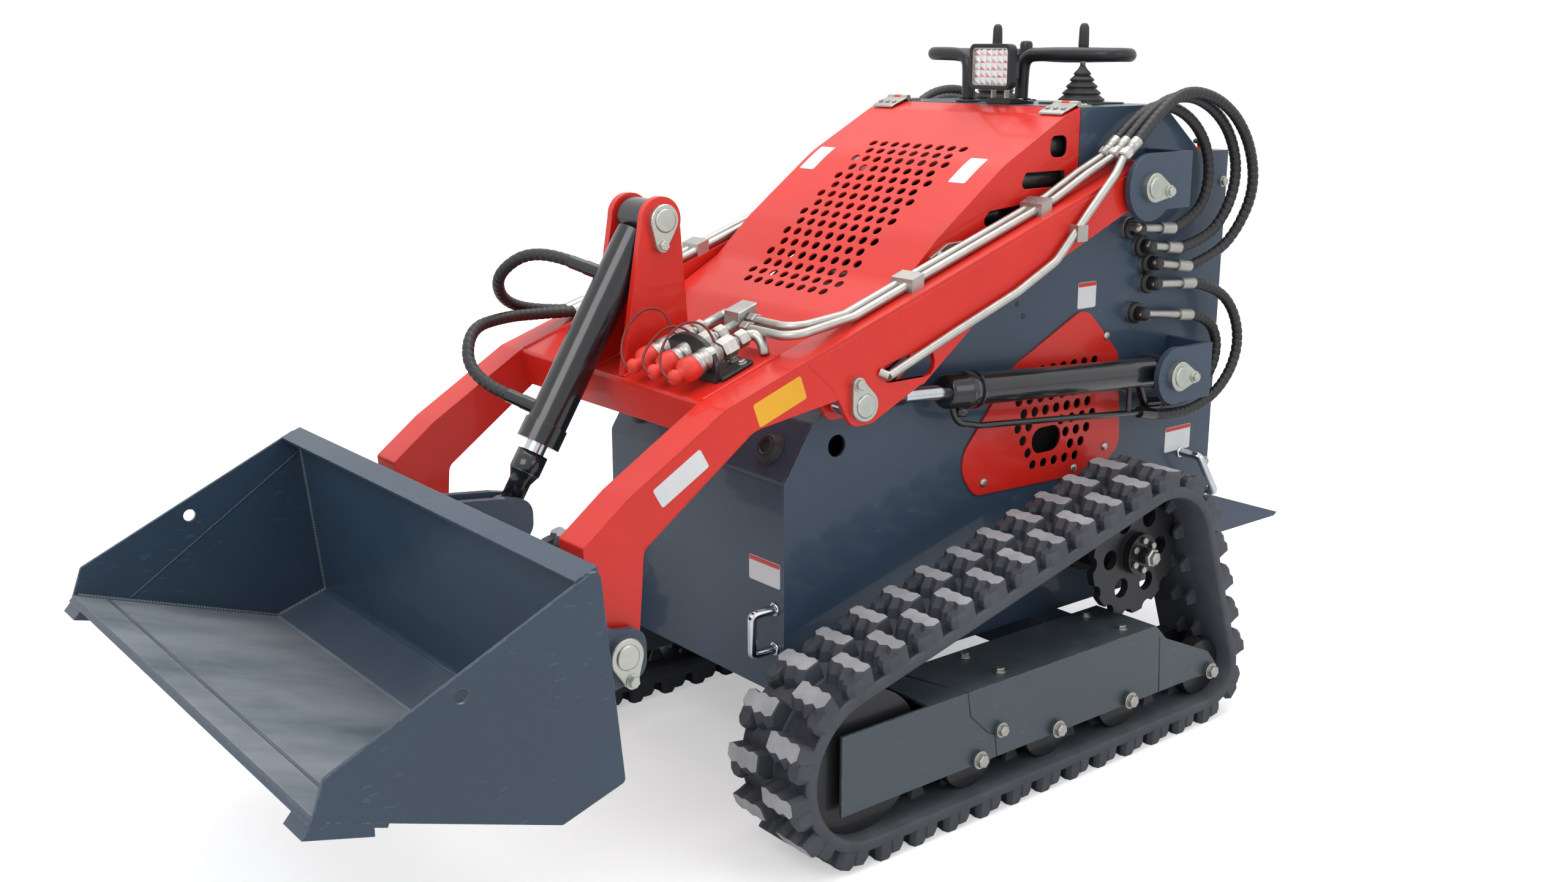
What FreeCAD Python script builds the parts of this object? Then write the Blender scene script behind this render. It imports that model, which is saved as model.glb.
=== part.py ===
"""Stand-on mini track loader with lift arms, tilt mast and bucket. Millimetres.

X is across the machine (+X its left side), +Y runs to the rear, Z is up.
Profiles are drawn in the side view from the body's front face (y = 0) and every
piece is then placed by ground_shift, so that the origin is under the box's middle.
"""
import FreeCAD
import Part
import Sketcher
import math
import os

doc = FreeCAD.newDocument("loader")
sheet = doc.addObject("Spreadsheet::Sheet", "sizes")
V = FreeCAD.Vector

# Driving sizes: one named cell each
SIZES = {
    "ground_shift": -263,
    # body
    "body_half": 270, "plate_t": 6, "belly_z": 235, "body_rear": 1196, "body_top": 1240,
    # tracks
    "track_in": "=body_half + 50", "track_out": "=track_in + 180", "belt_t": 22, "lug_h": 31, "lug_pitch": 72,
    "front_r": 150, "drive_r": 150, "rear_r": 80, "front_y": 14, "drive_y": 774,
    "drive_z": 382, "rear_y": 945, "roller_z": 116, "axle_r": 12,
    "rail_out": "=track_out - 15", "rail_in": "=track_in + 15", "rail_low": 105, "rail_top": 250,
    # lift arms
    "arm_in": "=body_half + 15", "arm_out": "=arm_in + 70", "arm_pivot_y": 815, "arm_pivot_z": 1092, "pin_r": 16,
    # lift cylinders
    "lift_rear_y": 930, "lift_rear_z": 711, "lift_front_y": 100, "lift_front_z": 767,
    "lift_r": 30, "rod_r": 14,
    # mast and tilt cylinder
    "mast_y": -94, "mast_z": 1065, "ear_in": 40, "ear_t": 14, "tilt_r": 35,
    "eye_y": -392, "eye_z": 582,
    # bucket
    "bucket_half": "=track_out + 25", "sheet_t": 6, "bucket_pin_y": -400, "bucket_pin_z": 450,
    # hoses
    "hose_r": 11, "crimp_r": 12, "tube_r": 8,
}
for row, (name, value) in enumerate(SIZES.items(), start=1):
    sheet.set("A%d" % row, name)
    sheet.set("B%d" % row, str(value))
    sheet.setAlias("B%d" % row, name)
doc.recompute()
S = {name: float(sheet.get(name)) for name in SIZES}

HALF = S["body_half"]
T = S["plate_t"]
PIVOT = (S["arm_pivot_y"], S["arm_pivot_z"])
LIFT_REAR = (S["lift_rear_y"], S["lift_rear_z"])
LIFT_FRONT = (S["lift_front_y"], S["lift_front_z"])
MAST = (S["mast_y"], S["mast_z"])
EYE = (S["eye_y"], S["eye_z"])
BUCKET_PIN = (S["bucket_pin_y"], S["bucket_pin_z"])
PIN = S["pin_r"]
RUN = 0.05   # radial running clearance
nodes = []


def add(name, shape, solids=None):
    """A named piece with its own label and placement."""
    shape = shape.removeSplitter()
    piece = doc.addObject("Part::Feature", name)
    piece.Label = name
    piece.Shape = shape
    piece.Placement = FreeCAD.Placement(V(0, S["ground_shift"], 0), FreeCAD.Rotation())
    nodes.append(piece)
    if solids is not None and len(shape.Solids) != solids:
        raise RuntimeError("%s has %d solids" % (name, len(shape.Solids)))
    return piece


def outline(points):
    """Face in the side view through (y, z) or (y, z, corner radius) points."""
    corners = [(V(0, p[0], p[1]), p[2] if len(p) > 2 else 0) for p in points]
    ends = []
    for i, (here, radius) in enumerate(corners):
        back = (corners[i - 1][0] - here).normalize()
        ahead = (corners[(i + 1) % len(corners)][0] - here).normalize()
        if not radius:
            ends.append((here, None, here))
            continue
        half = back.getAngle(ahead) / 2
        middle = (back + ahead).normalize() * (radius / math.sin(half) - radius)
        cut = radius / math.tan(half)
        ends.append((here + back * cut, here + middle, here + ahead * cut))
    edges = []
    for i, (start, middle, end) in enumerate(ends):
        if middle is not None:
            edges.append(Part.Arc(start, middle, end).toShape())
        after = ends[(i + 1) % len(ends)][0]
        if end.distanceToPoint(after) > 1e-6:
            edges.append(Part.LineSegment(end, after).toShape())
    return Part.Face(Part.Wire(edges))


def plate(points, x0, x1):
    """Plate across X from x0 to x1 with a side-view outline."""
    face = outline(points)
    face.translate(V(x0, 0, 0))
    return face.extrude(V(x1 - x0, 0, 0))


def box(x0, x1, y0, y1, z0, z1):
    return Part.makeBox(x1 - x0, y1 - y0, z1 - z0, V(x0, y0, z0))


def disc(x0, x1, centre, radius):
    """Round bar along X."""
    return Part.makeCylinder(radius, x1 - x0, V(x0, centre[0], centre[1]), V(1, 0, 0))


def bar(start, end, radius):
    """Round bar between two points."""
    start, end = V(*start), V(*end)
    run = end - start
    return Part.makeCylinder(radius, run.Length, start, run)


def join(*pieces):
    return pieces[0].multiFuse(list(pieces[1:])) if len(pieces) > 1 else pieces[0]


def group(*pieces):
    """Solids of one node that don't touch."""
    return Part.makeCompound(list(pieces))


def mirrored(shape):
    return shape.mirror(V(0, 0, 0), V(1, 0, 0))


def both(name, shape, solids=None):
    """The piece of the left side and its twin on the right."""
    add(name + "_left", shape, solids)
    add(name + "_right", mirrored(shape), solids)


# Native features, bound to the cells by expressions
def spot(value):
    """Number and expression of a coordinate: 12, "cell" or ("cell", offset)."""
    if isinstance(value, str):
        return S[value], "sizes." + value
    if isinstance(value, tuple):
        return S[value[0]] + value[1], "sizes.%s + (%g)" % value
    return value, None


def keep(piece, name):
    """Takes a native feature into the list of pieces."""
    piece.Label = name
    doc.recompute()
    nodes.append(piece)
    return piece


def sized_box(name, x0, x1, y0, y1, z0, z1):
    """Part::Box from expressions of its six sides."""
    piece = doc.addObject("Part::Box", name)
    piece.setExpression("Length", "(%s) - (%s)" % (x1, x0))
    piece.setExpression("Width", "(%s) - (%s)" % (y1, y0))
    piece.setExpression("Height", "(%s) - (%s)" % (z1, z0))
    piece.setExpression("Placement.Base.x", x0)
    piece.setExpression("Placement.Base.y", "(%s) + sizes.ground_shift" % y0)
    piece.setExpression("Placement.Base.z", z0)
    return piece


def draw_loop(sketch, corners):
    """Closed loop of lines with every corner held at its (y, z)."""
    first = sketch.GeometryCount
    count = len(corners)
    marks = [(spot(c[0])[0], spot(c[1])[0]) for c in corners]
    for i in range(count):
        ahead = marks[(i + 1) % count]
        sketch.addGeometry(Part.LineSegment(V(*marks[i], 0), V(*ahead, 0)), False)
    for i, corner in enumerate(corners):
        sketch.addConstraint(Sketcher.Constraint("Coincident", first + i, 1, first + (i - 1) % count, 2))
        for kind, value in (("DistanceX", corner[0]), ("DistanceY", corner[1])):
            number, formula = spot(value)
            index = sketch.addConstraint(Sketcher.Constraint(kind, -1, 1, first + i, 1, number))
            if formula:
                sketch.setExpression("Constraints[%d]" % index, formula)


def drawn_plate(name, start, thickness, corners, openings=(), circles=()):
    """PartDesign body: a side-view sketch padded along X, then its corners rounded."""
    body = doc.addObject("PartDesign::Body", name)
    body.setExpression("Placement.Base.y", "sizes.ground_shift")
    sketch = body.newObject("Sketcher::SketchObject", name + "_profile")
    sketch.Placement = FreeCAD.Placement(V(0, 0, 0), FreeCAD.Rotation(0.5, 0.5, 0.5, 0.5))
    sketch.setExpression("Placement.Base.x", start)
    for loop in [corners] + list(openings):
        draw_loop(sketch, loop)
    for y, z, radius in circles:
        sketch.addGeometry(Part.Circle(V(y, z, 0), V(0, 0, 1), radius), False)
    pad = body.newObject("PartDesign::Pad", name + "_pad")
    pad.Profile = sketch
    pad.setExpression("Length", thickness)
    doc.recompute()
    top = pad
    rounded = [c for loop in [corners] + list(openings) for c in loop if len(c) > 2]
    for radius in sorted({c[2] for c in rounded}):
        places = [(spot(c[0])[0], spot(c[1])[0]) for c in rounded if c[2] == radius]
        edges = []
        for i, edge in enumerate(top.Shape.Edges, start=1):
            ends = [v.Point for v in edge.Vertexes]
            if len(ends) == 2 and abs(ends[0].x - ends[1].x) > 1:
                if any(math.hypot(ends[0].y - y, ends[0].z - z) < 0.01 for y, z in places):
                    edges.append("Edge%d" % i)
        fillet = body.newObject("PartDesign::Fillet", "%s_round_%d" % (name, radius))
        fillet.Base = (top, edges)
        fillet.Radius = radius
        doc.recompute()
        top = fillet
    return body


def reflected(source, name):
    """Part::Mirroring of a native piece to the machine's other side."""
    piece = doc.addObject("Part::Mirroring", name)
    piece.Source = source
    piece.Normal = V(1, 0, 0)
    return piece


def between(a, b, share):
    return (a[0] + (b[0] - a[0]) * share, a[1] + (b[1] - a[1]) * share)


def hull_path(circles):
    """Side-view loop round circles (y, z, r) given anticlockwise: arcs and tangents."""
    marks = []
    count = len(circles)
    for i in range(count):
        y0, z0, r0 = circles[i]
        y1, z1, r1 = circles[(i + 1) % count]
        span = math.hypot(y1 - y0, z1 - z0)
        along = math.atan2(z1 - z0, y1 - y0)
        lean = math.acos((r0 - r1) / span)
        side = along - lean
        marks.append((side, (y0, z0, r0), (y1, z1, r1)))
    path = []
    for i, (side, here, ahead) in enumerate(marks):
        before = marks[i - 1][0]
        turn = (side - before) % (2 * math.pi)
        path.append(("arc", here, before, turn))
        a = (here[0] + here[2] * math.cos(side), here[1] + here[2] * math.sin(side))
        b = (ahead[0] + ahead[2] * math.cos(side), ahead[1] + ahead[2] * math.sin(side))
        path.append(("line", a, b, side))
    return path


def path_length(path):
    total = 0
    for kind, a, b, c in path:
        total += a[2] * c if kind == "arc" else math.hypot(b[0] - a[0], b[1] - a[1])
    return total


def path_point(path, distance):
    """(y, z, outward angle) at a distance along a hull path."""
    distance %= path_length(path)
    for kind, a, b, c in path:
        size = a[2] * c if kind == "arc" else math.hypot(b[0] - a[0], b[1] - a[1])
        if distance <= size:
            if kind == "arc":
                angle = b + distance / a[2]
                return (a[0] + a[2] * math.cos(angle), a[1] + a[2] * math.sin(angle), angle)
            share = distance / size
            return between(a, b, share) + (c,)
        distance -= size
    return path_point(path, 0)


def path_face(path):
    """Face inside a hull path."""
    edges = []
    for kind, a, b, c in path:
        if kind == "line":
            edges.append(Part.LineSegment(V(0, *a), V(0, *b)).toShape())
            continue
        marks = [b, b + c / 2, b + c]
        ends = [V(0, a[0] + a[2] * math.cos(m), a[1] + a[2] * math.sin(m)) for m in marks]
        edges.append(Part.Arc(*ends).toShape())
    return Part.Face(Part.Wire(edges))


# Hull of the machine: side plates, nose, belly, rear panel, deck
SIDE = [(0, "belly_z"), (0, 624, 20), (64, 724, 20), (104, 756), (240, 796), (500, 946),
        (724, 1046), (724, "body_top"), (973, "body_top", 15), (1098, 1143, 10),
        ("body_rear", 1142), ("body_rear", "belly_z")]
# Opening for air behind the red side cover
AIRWAY = [(758, 815, 40), (585, 735, 50), (455, 592, 40), (480, 552, 25), (812, 542, 25),
          (850, 572, 30), (838, 728, 50)]
side = drawn_plate("side_plate_left", "sizes.body_half - sizes.plate_t", "sizes.plate_t", SIDE,
                   [AIRWAY], [(119, 676, 20)])
keep(side, "side_plate_left")
keep(reflected(side, "side_plate_right"), "side_plate_right")

nose = plate([(0, S["belly_z"]), (0, 624, 20), (64, 724, 20), (104, 756), (108, 751),
              (69, 720, 14), (6, 622, 14), (6, S["belly_z"])], -HALF + T, HALF - T)
PLUG = (29.5, 670.1)
PLUG_WAY = V(0, -100, 64).normalize()
PLUG_X = HALF - 70
for x in (-PLUG_X, PLUG_X):
    nose = nose.cut(Part.makeCylinder(18, 60, V(x, *PLUG) - PLUG_WAY * 30, PLUG_WAY))
add("front_plate", nose, 1)


def plug(x):
    """Round black plug in the nose: a head outside and a neck in its hole."""
    on_face = V(x, *PLUG)
    head = Part.makeCone(30, 22, 16, on_face, PLUG_WAY)
    neck = Part.makeCylinder(17.5, 14, on_face - PLUG_WAY * 14, PLUG_WAY)
    return join(head, neck)


INNER = "sizes.body_half - sizes.plate_t"
WALL = "sizes.plate_t"
BELLY = "sizes.belly_z"
keep(sized_box("belly_plate", "-(%s)" % INNER, INNER, WALL, "sizes.body_rear - " + WALL,
               BELLY, BELLY + " + " + WALL), "belly_plate")
keep(sized_box("rear_panel", "-(%s)" % INNER, INNER, "sizes.body_rear - " + WALL, "sizes.body_rear",
               BELLY, "1136"), "rear_panel")
DECK = [(724, 1100), (724, "body_top"), (973, "body_top", 15), (1098, 1143, 10),
        ("body_rear", 1142), ("body_rear", 1136), (1096, 1137, 10),
        (970, ("body_top", -6), 15), (730, ("body_top", -6)), (730, 1100)]
keep(drawn_plate("deck", "-(%s)" % INNER, "2 * (%s)" % INNER, DECK), "deck")
keep(sized_box("engine_block", "-180", "180", "180", "860", BELLY + " + " + WALL, "740"), "engine_block")

# Crossmembers carry the track frames under the belly
RAIL_IN = S["rail_in"]
RAIL_OUT = S["rail_out"]
beams = doc.addObject("Part::Compound", "crossmembers")
beams.Links = [sized_box("beam_%d" % y, "-sizes.rail_in", "sizes.rail_in", str(y), str(y + 80), "150", BELLY)
               for y in (180, 640)]
keep(beams, "crossmembers")

# Track frame: two side plates and a top plate, open below, with the roller axles
RAIL = [(-50, S["rail_low"]), (-50, S["rail_top"]), (765, S["rail_top"]), (800, 215, 10),
        (941, 153, 12), (982, 106, 8), (941, 101, 8), (900, S["rail_low"])]
wall = 6
rail = join(plate(RAIL, RAIL_OUT - wall, RAIL_OUT), plate(RAIL, RAIL_IN, RAIL_IN + wall),
            box(RAIL_IN, RAIL_OUT, 150, 765, S["rail_top"] - wall, S["rail_top"]))
ROLLERS = [(272, S["roller_z"]), (480, S["roller_z"]), (689, S["roller_z"])]
FRONT = (S["front_y"], S["lug_h"] + S["front_r"])
REAR = (S["rear_y"], S["lug_h"] + S["rear_r"])
DRIVE = (S["drive_y"], S["drive_z"])
AXLE = S["axle_r"]
for centre in ROLLERS + [REAR]:
    rail = join(rail, disc(RAIL_IN, RAIL_OUT, centre, AXLE), disc(RAIL_OUT, RAIL_OUT + 8, centre, 11))
rail = join(rail, disc(RAIL_IN, RAIL_OUT, FRONT, AXLE))
rail = join(rail, disc(RAIL_OUT, RAIL_OUT + 8, (325, 159), 9))
both("track_frame", rail, 1)

# Rollers and idlers turn on those axles
GAP = 0.5
low_wheel = S["roller_z"] - S["lug_h"] - S["belt_t"] - GAP
wheels = [(FRONT, S["front_r"] - S["belt_t"] - GAP), (REAR, S["rear_r"] - S["belt_t"] - GAP)]
wheels += [(centre, low_wheel) for centre in ROLLERS]
turning = []
for centre, radius in wheels:
    wheel = disc(RAIL_IN + 25, RAIL_OUT - 25, centre, radius - 30)
    for x in (RAIL_IN + 20, RAIL_OUT - 50):
        wheel = join(wheel, disc(x, x + 30, centre, radius))
    turning.append(wheel.cut(disc(RAIL_IN, RAIL_OUT, centre, AXLE + RUN)))
both("rollers", group(*turning), len(turning))

# Rubber track: one loop with two staggered rows of lugs in its outline
LOOP = [(FRONT[0], FRONT[1], S["front_r"]), (REAR[0], REAR[1], S["rear_r"]),
        (DRIVE[0], DRIVE[1], S["drive_r"])]
belt = hull_path(LOOP)
inner = path_face(hull_path([(y, z, r - S["belt_t"]) for y, z, r in LOOP]))
links = round(path_length(belt) / S["lug_pitch"])
step = path_length(belt) / links


def lug_row(phase):
    """Belt outline with a lug on each link."""
    points = []
    for i in range(links):
        start = (i + phase) * step
        for share, height in ((0.0, 0), (0.13, 1), (0.45, 1), (0.60, 0)):
            y, z, angle = path_point(belt, start + share * step)
            rise = S["lug_h"] * height
            points.append(V(0, y + rise * math.cos(angle), z + rise * math.sin(angle)))
    return Part.Face(Part.makePolygon(points + points[:1]))


track = []
middle = (S["track_in"] + S["track_out"]) / 2
for phase, x0, x1 in ((0.0, S["track_in"], middle), (0.5, middle, S["track_out"])):
    row_face = lug_row(phase).cut(inner)
    row_face.translate(V(x0, 0, 0))
    track.append(row_face.extrude(V(x1 - x0, 0, 0)))
both("track", join(*track), 1)

# Sprocket with rounded notches and holes, on its drive motor
TEETH = 13
tip = S["drive_r"] - S["belt_t"] - 1
MID = (S["track_in"] + S["track_out"]) / 2
wheel = disc(MID - 8, MID + 8, DRIVE, tip)
for i in range(TEETH):
    angle = 2 * math.pi * (i + 0.5) / TEETH
    notch = (DRIVE[0] + (tip + 6) * math.cos(angle), DRIVE[1] + (tip + 6) * math.sin(angle))
    wheel = wheel.cut(disc(MID - 10, MID + 10, notch, 17))
for i in range(6):
    angle = 2 * math.pi * i / 6
    hole = (DRIVE[0] + 76 * math.cos(angle), DRIVE[1] + 76 * math.sin(angle))
    wheel = wheel.cut(disc(MID - 10, MID + 10, hole, 20))
MOTOR = HALF + 30
wheel = join(wheel, disc(MID + 8, MID + 26, DRIVE, 42), disc(MID + 26, MID + 46, DRIVE, 16),
             disc(MOTOR, MID - 8, DRIVE, 52), disc(HALF, MOTOR, DRIVE, 66))
both("sprocket", wheel, 1)

# Red side covers with an oval opening
COVER = [(761, 856, 45), (563, 763, 60), (412, 590, 60), (462, 522, 35), (824, 511, 35),
         (885, 556, 40), (870, 747, 60)]
cover = plate(COVER, HALF, HALF + 4)
oval = join(disc(HALF - 20, HALF + 20, (644, 603), 26), disc(HALF - 20, HALF + 20, (676, 603), 26),
            box(HALF - 20, HALF + 20, 644, 676, 577, 629))
VENT_PITCH = 31
holes = []
for row, count in enumerate((5, 6, 7, 8, 7, 8, 7, 8)):
    z = 556 + 0.866 * VENT_PITCH * row
    for column in range(count):
        y = 686 + (column - (count - 1) / 2) * VENT_PITCH
        if math.hypot(max(abs(y - 660) - 16, 0), z - 603) > 38:
            holes.append(disc(HALF - 20, HALF + 20, (y, z), 10))
both("side_cover", cover.cut(oval).cut(Part.makeCompound(holes)), 1)


def handle(x0, start, end, reach, across=False):
    """Bent round tie handle that stands off a wall."""
    a = V(x0, *start)
    b = V(x0, *end)
    out = V(0, -reach, 0) if across else V(reach, 0, 0)
    pieces = [bar(a, a + out, 7), bar(b, b + out, 7), bar(a + out, b + out, 7)]
    return join(*pieces, Part.makeSphere(7, a + out), Part.makeSphere(7, b + out))


handles = [handle(HALF, (1097, 505), (1160, 415), 40), handle(HALF - 48, (0, 395), (0, 300), 40, True)]
handles += [mirrored(h) for h in handles]
add("tie_handles", group(*handles), 4)
add("nose_plugs", group(plug(-PLUG_X), plug(PLUG_X)), 2)

# Outer cheeks that hold the arm pivots and the lift cylinders' rear pins
ARM_IN = S["arm_in"]
ARM_OUT = S["arm_out"]
CHEEK_IN = ARM_OUT + 7
CHEEK_OUT = CHEEK_IN + 13


def cheek(centre, radius, reach, below, above):
    """Rounded outer plate, rear web to the side plate, and the pin with its head."""
    back = centre[0] + reach
    low, high = centre[1] - below, centre[1] + above
    outer = join(disc(CHEEK_IN, CHEEK_OUT, centre, radius),
                 box(CHEEK_IN, CHEEK_OUT, centre[0], back, low, high))
    web = box(HALF, CHEEK_OUT, back - 12, back, low, high)
    pin = join(disc(HALF, CHEEK_OUT, centre, PIN), disc(CHEEK_OUT, CHEEK_OUT + 10, centre, 24))
    return join(outer, web, pin)


both("pivot_bracket", cheek(PIVOT, 64, 120, 44, 64), 1)
both("cylinder_bracket", cheek(LIFT_REAR, 58, 110, 56, 56), 1)


# Control deck: handlebars, levers, work light
def rod_path(points, radius):
    """Round bar along points, with balls at the bends."""
    pieces = []
    for a, b in zip(points, points[1:]):
        pieces.append(bar(a, b, radius))
    for p in points[1:-1]:
        pieces.append(Part.makeSphere(radius, V(*p)))
    return join(*pieces)


TOP = S["body_top"]
near_bar = rod_path([(20, 800, TOP), (20, 800, 1300), (45, 810, 1335), (262, 850, 1337),
                     (262, 945, 1335), (62, 925, 1333), (45, 810, 1335)], 11)
far_bar = rod_path([(-160, 760, TOP), (-160, 760, 1300), (-180, 765, 1335), (-255, 780, 1337),
                    (-255, 860, 1335), (-120, 860, 1333), (-160, 760, 1300)], 11)
add("handlebars", group(near_bar, far_bar), 2)


def lever(x, y):
    """Stick with a stepped rubber gaiter."""
    pieces = [bar((x, y, TOP), (x, y, TOP + 150), 9), Part.makeSphere(9, V(x, y, TOP + 150))]
    for i, radius in enumerate((46, 38, 31, 24, 17)):
        pieces.append(Part.makeCone(radius, radius - 9, 14, V(x, y, TOP + 13 * i), V(0, 0, 1)))
    return join(*pieces)


add("control_levers", group(lever(138, 877), lever(-98, 877)), 2)
TOP_CELL = "sizes.body_top"
lamp_parts = [sized_box("lamp_housing", "-5", "105", "700", "745", "1270", "1356"),
              sized_box("lamp_stem", "35", "65", "726", "740", TOP_CELL, "1275"),
              sized_box("lamp_foot", "20", "80", "726", "786", TOP_CELL, TOP_CELL + " + 5")]
lamp_solid = doc.addObject("Part::MultiFuse", "lamp_solid")
lamp_solid.Shapes = lamp_parts
lamp = doc.addObject("Part::Cut", "work_light")
lamp.Base = lamp_solid
lamp.Tool = sized_box("lamp_pocket", "1", "99", "694", "706", "1276", "1350")
keep(lamp, "work_light")

# Stand-on platform behind the body
REACH = 306
GUSSET = [("body_rear", 283), ("body_rear", 385), (("body_rear", 39), 381), (("body_rear", REACH), 290),
          (("body_rear", REACH - 12), 283)]
gusset = drawn_plate("gusset_left", "sizes.body_half - 20", WALL, GUSSET)
platform = doc.addObject("Part::MultiFuse", "platform")
platform.Shapes = [sized_box("floor", "20 - sizes.body_half", "sizes.body_half - 20", "sizes.body_rear",
                             "sizes.body_rear + %d" % (REACH - 12), "283", "289"),
                   gusset, reflected(gusset, "gusset_right")]
keep(platform, "platform")

# Hood: curved sheet with side skirts, hinged at its rear edge
HOOD = [(720, 1239), (678, 1226, 60), (514, 1140, 300), (347, 1018, 300), (264, 943, 100),
        (165, 889, 80), (90, 820)]
SKIRT = [(86, 800), (104, 762), (240, 802), (500, 952), (720, 1050)]
HOOD_HALF = HALF + 2
hood = plate(HOOD + SKIRT, -HOOD_HALF, HOOD_HALF)
INSIDE = [(730, 1236)] + [(p[0] + 1.5, p[1] - 3.5) + tuple(p[2:]) for p in HOOD[1:]]
hood = hood.cut(plate(INSIDE + [(86, 700), (730, 700)], -HOOD_HALF + 3, HOOD_HALF - 3))
WINDOW = [(640, 1150, 14), (686, 1150, 14), (686, 1190, 14), (640, 1190, 14)]
SLOTS = [[(560, 1095, 10), (685, 1095, 10), (685, 1125, 10), (575, 1125, 10)],
         [(455, 1030, 10), (580, 1042, 10), (580, 1068, 10), (480, 1060, 10)]]
for opening in [WINDOW] + SLOTS:
    hood = hood.cut(plate(opening, -HOOD_HALF - 20, HOOD_HALF + 20))
# Staggered round holes over the engine, square to the sheet
HOLE_PITCH = 32
RIDGE = [p[:2] for p in HOOD[1:6]]
ridge = Part.makePolygon([V(0, *p) for p in RIDGE])
tools = []
for row in range(16):
    middle = ridge.discretize(Distance=0.866 * HOLE_PITCH)[5 + row]
    ahead = ridge.discretize(Distance=0.866 * HOLE_PITCH)[6 + row]
    out = V(0, ahead.z - middle.z, middle.y - ahead.y).normalize()
    columns = 9 - row % 2
    for column in range(columns):
        across = (column - (columns - 1) / 2) * HOLE_PITCH
        tools.append(Part.makeCylinder(9.5, 50, middle + V(across, 0, 0) - out * 25, out))
hood = hood.cut(Part.makeCompound(tools))
HINGE = (724, TOP + 6)
KNUCKLE = 6
leaf = [(HINGE[0], 1240.2), (HINGE[0], 1246), (684, 1232), (684, 1227.9)]
hinges = []
HINGE_X = HALF - 35
for x in (-HINGE_X, HINGE_X):
    hood = join(hood, plate(leaf, x - 9, x + 9), disc(x - 9, x + 9, HINGE, KNUCKLE))
    hood = hood.cut(disc(x - 9, x + 9, HINGE, 3.5 + RUN))
    base = box(x - 30, x + 30, 732, 760, TOP, TOP + 4)
    for x0, x1 in ((x - 30, x - 9.5), (x + 9.5, x + 30)):
        base = join(base, disc(x0, x1, HINGE, KNUCKLE), box(x0, x1, HINGE[0], 734, TOP, TOP + 4))
    hinges.append(join(base, disc(x - 30, x + 30, HINGE, 3.5)))
add("hood", hood, 1)
add("hood_hinges", group(*hinges), 2)

# Lift arms
ARM = [(PIVOT[0], PIVOT[1] + 50), (-188, 800, 30), (-372, 689), (-454, 626, 8), (-442, 470),
       (-400, 405, 30), (-356, 470), (-345, 601, 20), (-129, 757, 60), (100, 790, 60), (384, 888),
       (770, 1047), (PIVOT[0], PIVOT[1] - 50)]
arm = join(plate(ARM, ARM_IN, ARM_OUT), disc(ARM_IN, ARM_OUT, PIVOT, 50))
for y, z, x0, x1 in ((PIVOT[0], PIVOT[1], ARM_IN, ARM_OUT), (BUCKET_PIN[0], BUCKET_PIN[1], ARM_IN, ARM_OUT)):
    arm = arm.cut(disc(x0, x1, (y, z), PIN + RUN))
BRACKET = [(-16, 848), (39, 799), (LIFT_FRONT[0] - 22, LIFT_FRONT[1] - 36, 25),
           (LIFT_FRONT[0] + 22, LIFT_FRONT[1] - 36, 25), (235, 783), (290, 850)]
fork = plate(BRACKET, ARM_OUT - 10, ARM_OUT).fuse(plate(BRACKET, ARM_IN, ARM_IN + 8))
pocket = disc(ARM_IN + 8, ARM_OUT - 10, LIFT_FRONT, 60)
arm = join(arm.cut(pocket), fork)
head = disc(ARM_OUT, ARM_OUT + 9, LIFT_FRONT, 26)
arm = join(arm, head)
both("arm", arm, 1)

# Cross plate between the arms, with a front flange, and the mast ears on it
CROSS = [(-186, 800, 8), (-20, 858), (-20, 848), (-172, 792, 4), (-160, 738), (-172, 735)]
keep(drawn_plate("cross_plate", "-sizes.arm_in", "2 * sizes.arm_in", CROSS), "cross_plate")
cross_plate = plate(CROSS, -ARM_IN, ARM_IN)
EAR_IN = S["ear_in"]
EAR_OUT = EAR_IN + S["ear_t"]
EARS = [(MAST[0] - 40, MAST[1]), (-180, 803), (-40, 851), (MAST[0] + 38, MAST[1])]
ear = join(plate(EARS, EAR_IN, EAR_OUT), disc(EAR_IN, EAR_OUT, MAST, 40))
ear = join(ear, disc(EAR_OUT, EAR_OUT + 9, MAST, 26))
mast = join(ear, mirrored(ear), disc(-EAR_IN, EAR_IN, MAST, PIN))
web = plate([(-70, 842), (-40, 851), (-50, 960), (-60, 960)], -EAR_IN, EAR_IN)
add("mast", join(mast, web), 1)


def steps(start, end, places):
    return [between(start, end, share) for share in places]


# Steel tubes and hoses: straight runs joined by tangent arcs
def tube(points, radius, widest=None):
    """Tube along points, square ends; a hose prints its bend radii, a steel tube states its widest."""
    marks = [V(*p) for p in points]
    edges = []
    start = marks[0]
    radii = []
    for i in range(1, len(marks) - 1):
        back = marks[i - 1] - marks[i]
        ahead = marks[i + 1] - marks[i]
        turn = math.pi - back.getAngle(ahead)
        if turn < 0.01:
            continue
        cut = 0.45 * min(back.Length, ahead.Length)
        bend = cut / math.tan(turn / 2)
        if widest and bend > widest:
            bend = widest
            cut = bend * math.tan(turn / 2)
        back.normalize()
        ahead.normalize()
        middle = (back + ahead).normalize() * (bend / math.cos(turn / 2) - bend)
        a, b = marks[i] + back * cut, marks[i] + ahead * cut
        edges.append(Part.LineSegment(start, a).toShape())
        edges.append(Part.Arc(a, marks[i] + middle, b).toShape())
        start = b
        radii.append(round(bend))
    edges.append(Part.LineSegment(start, marks[-1]).toShape())
    wire = Part.Wire(edges)
    ring = Part.Wire(Part.makeCircle(radius, marks[0], marks[1] - marks[0]))
    solid = wire.makePipeShell([ring], True, False)
    if not widest:
        share = solid.Volume / (math.pi * radius * radius * wire.Length)
        print("bends", radii, "length", round(wire.Length), "volume share", round(share, 3))
    return solid


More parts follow.
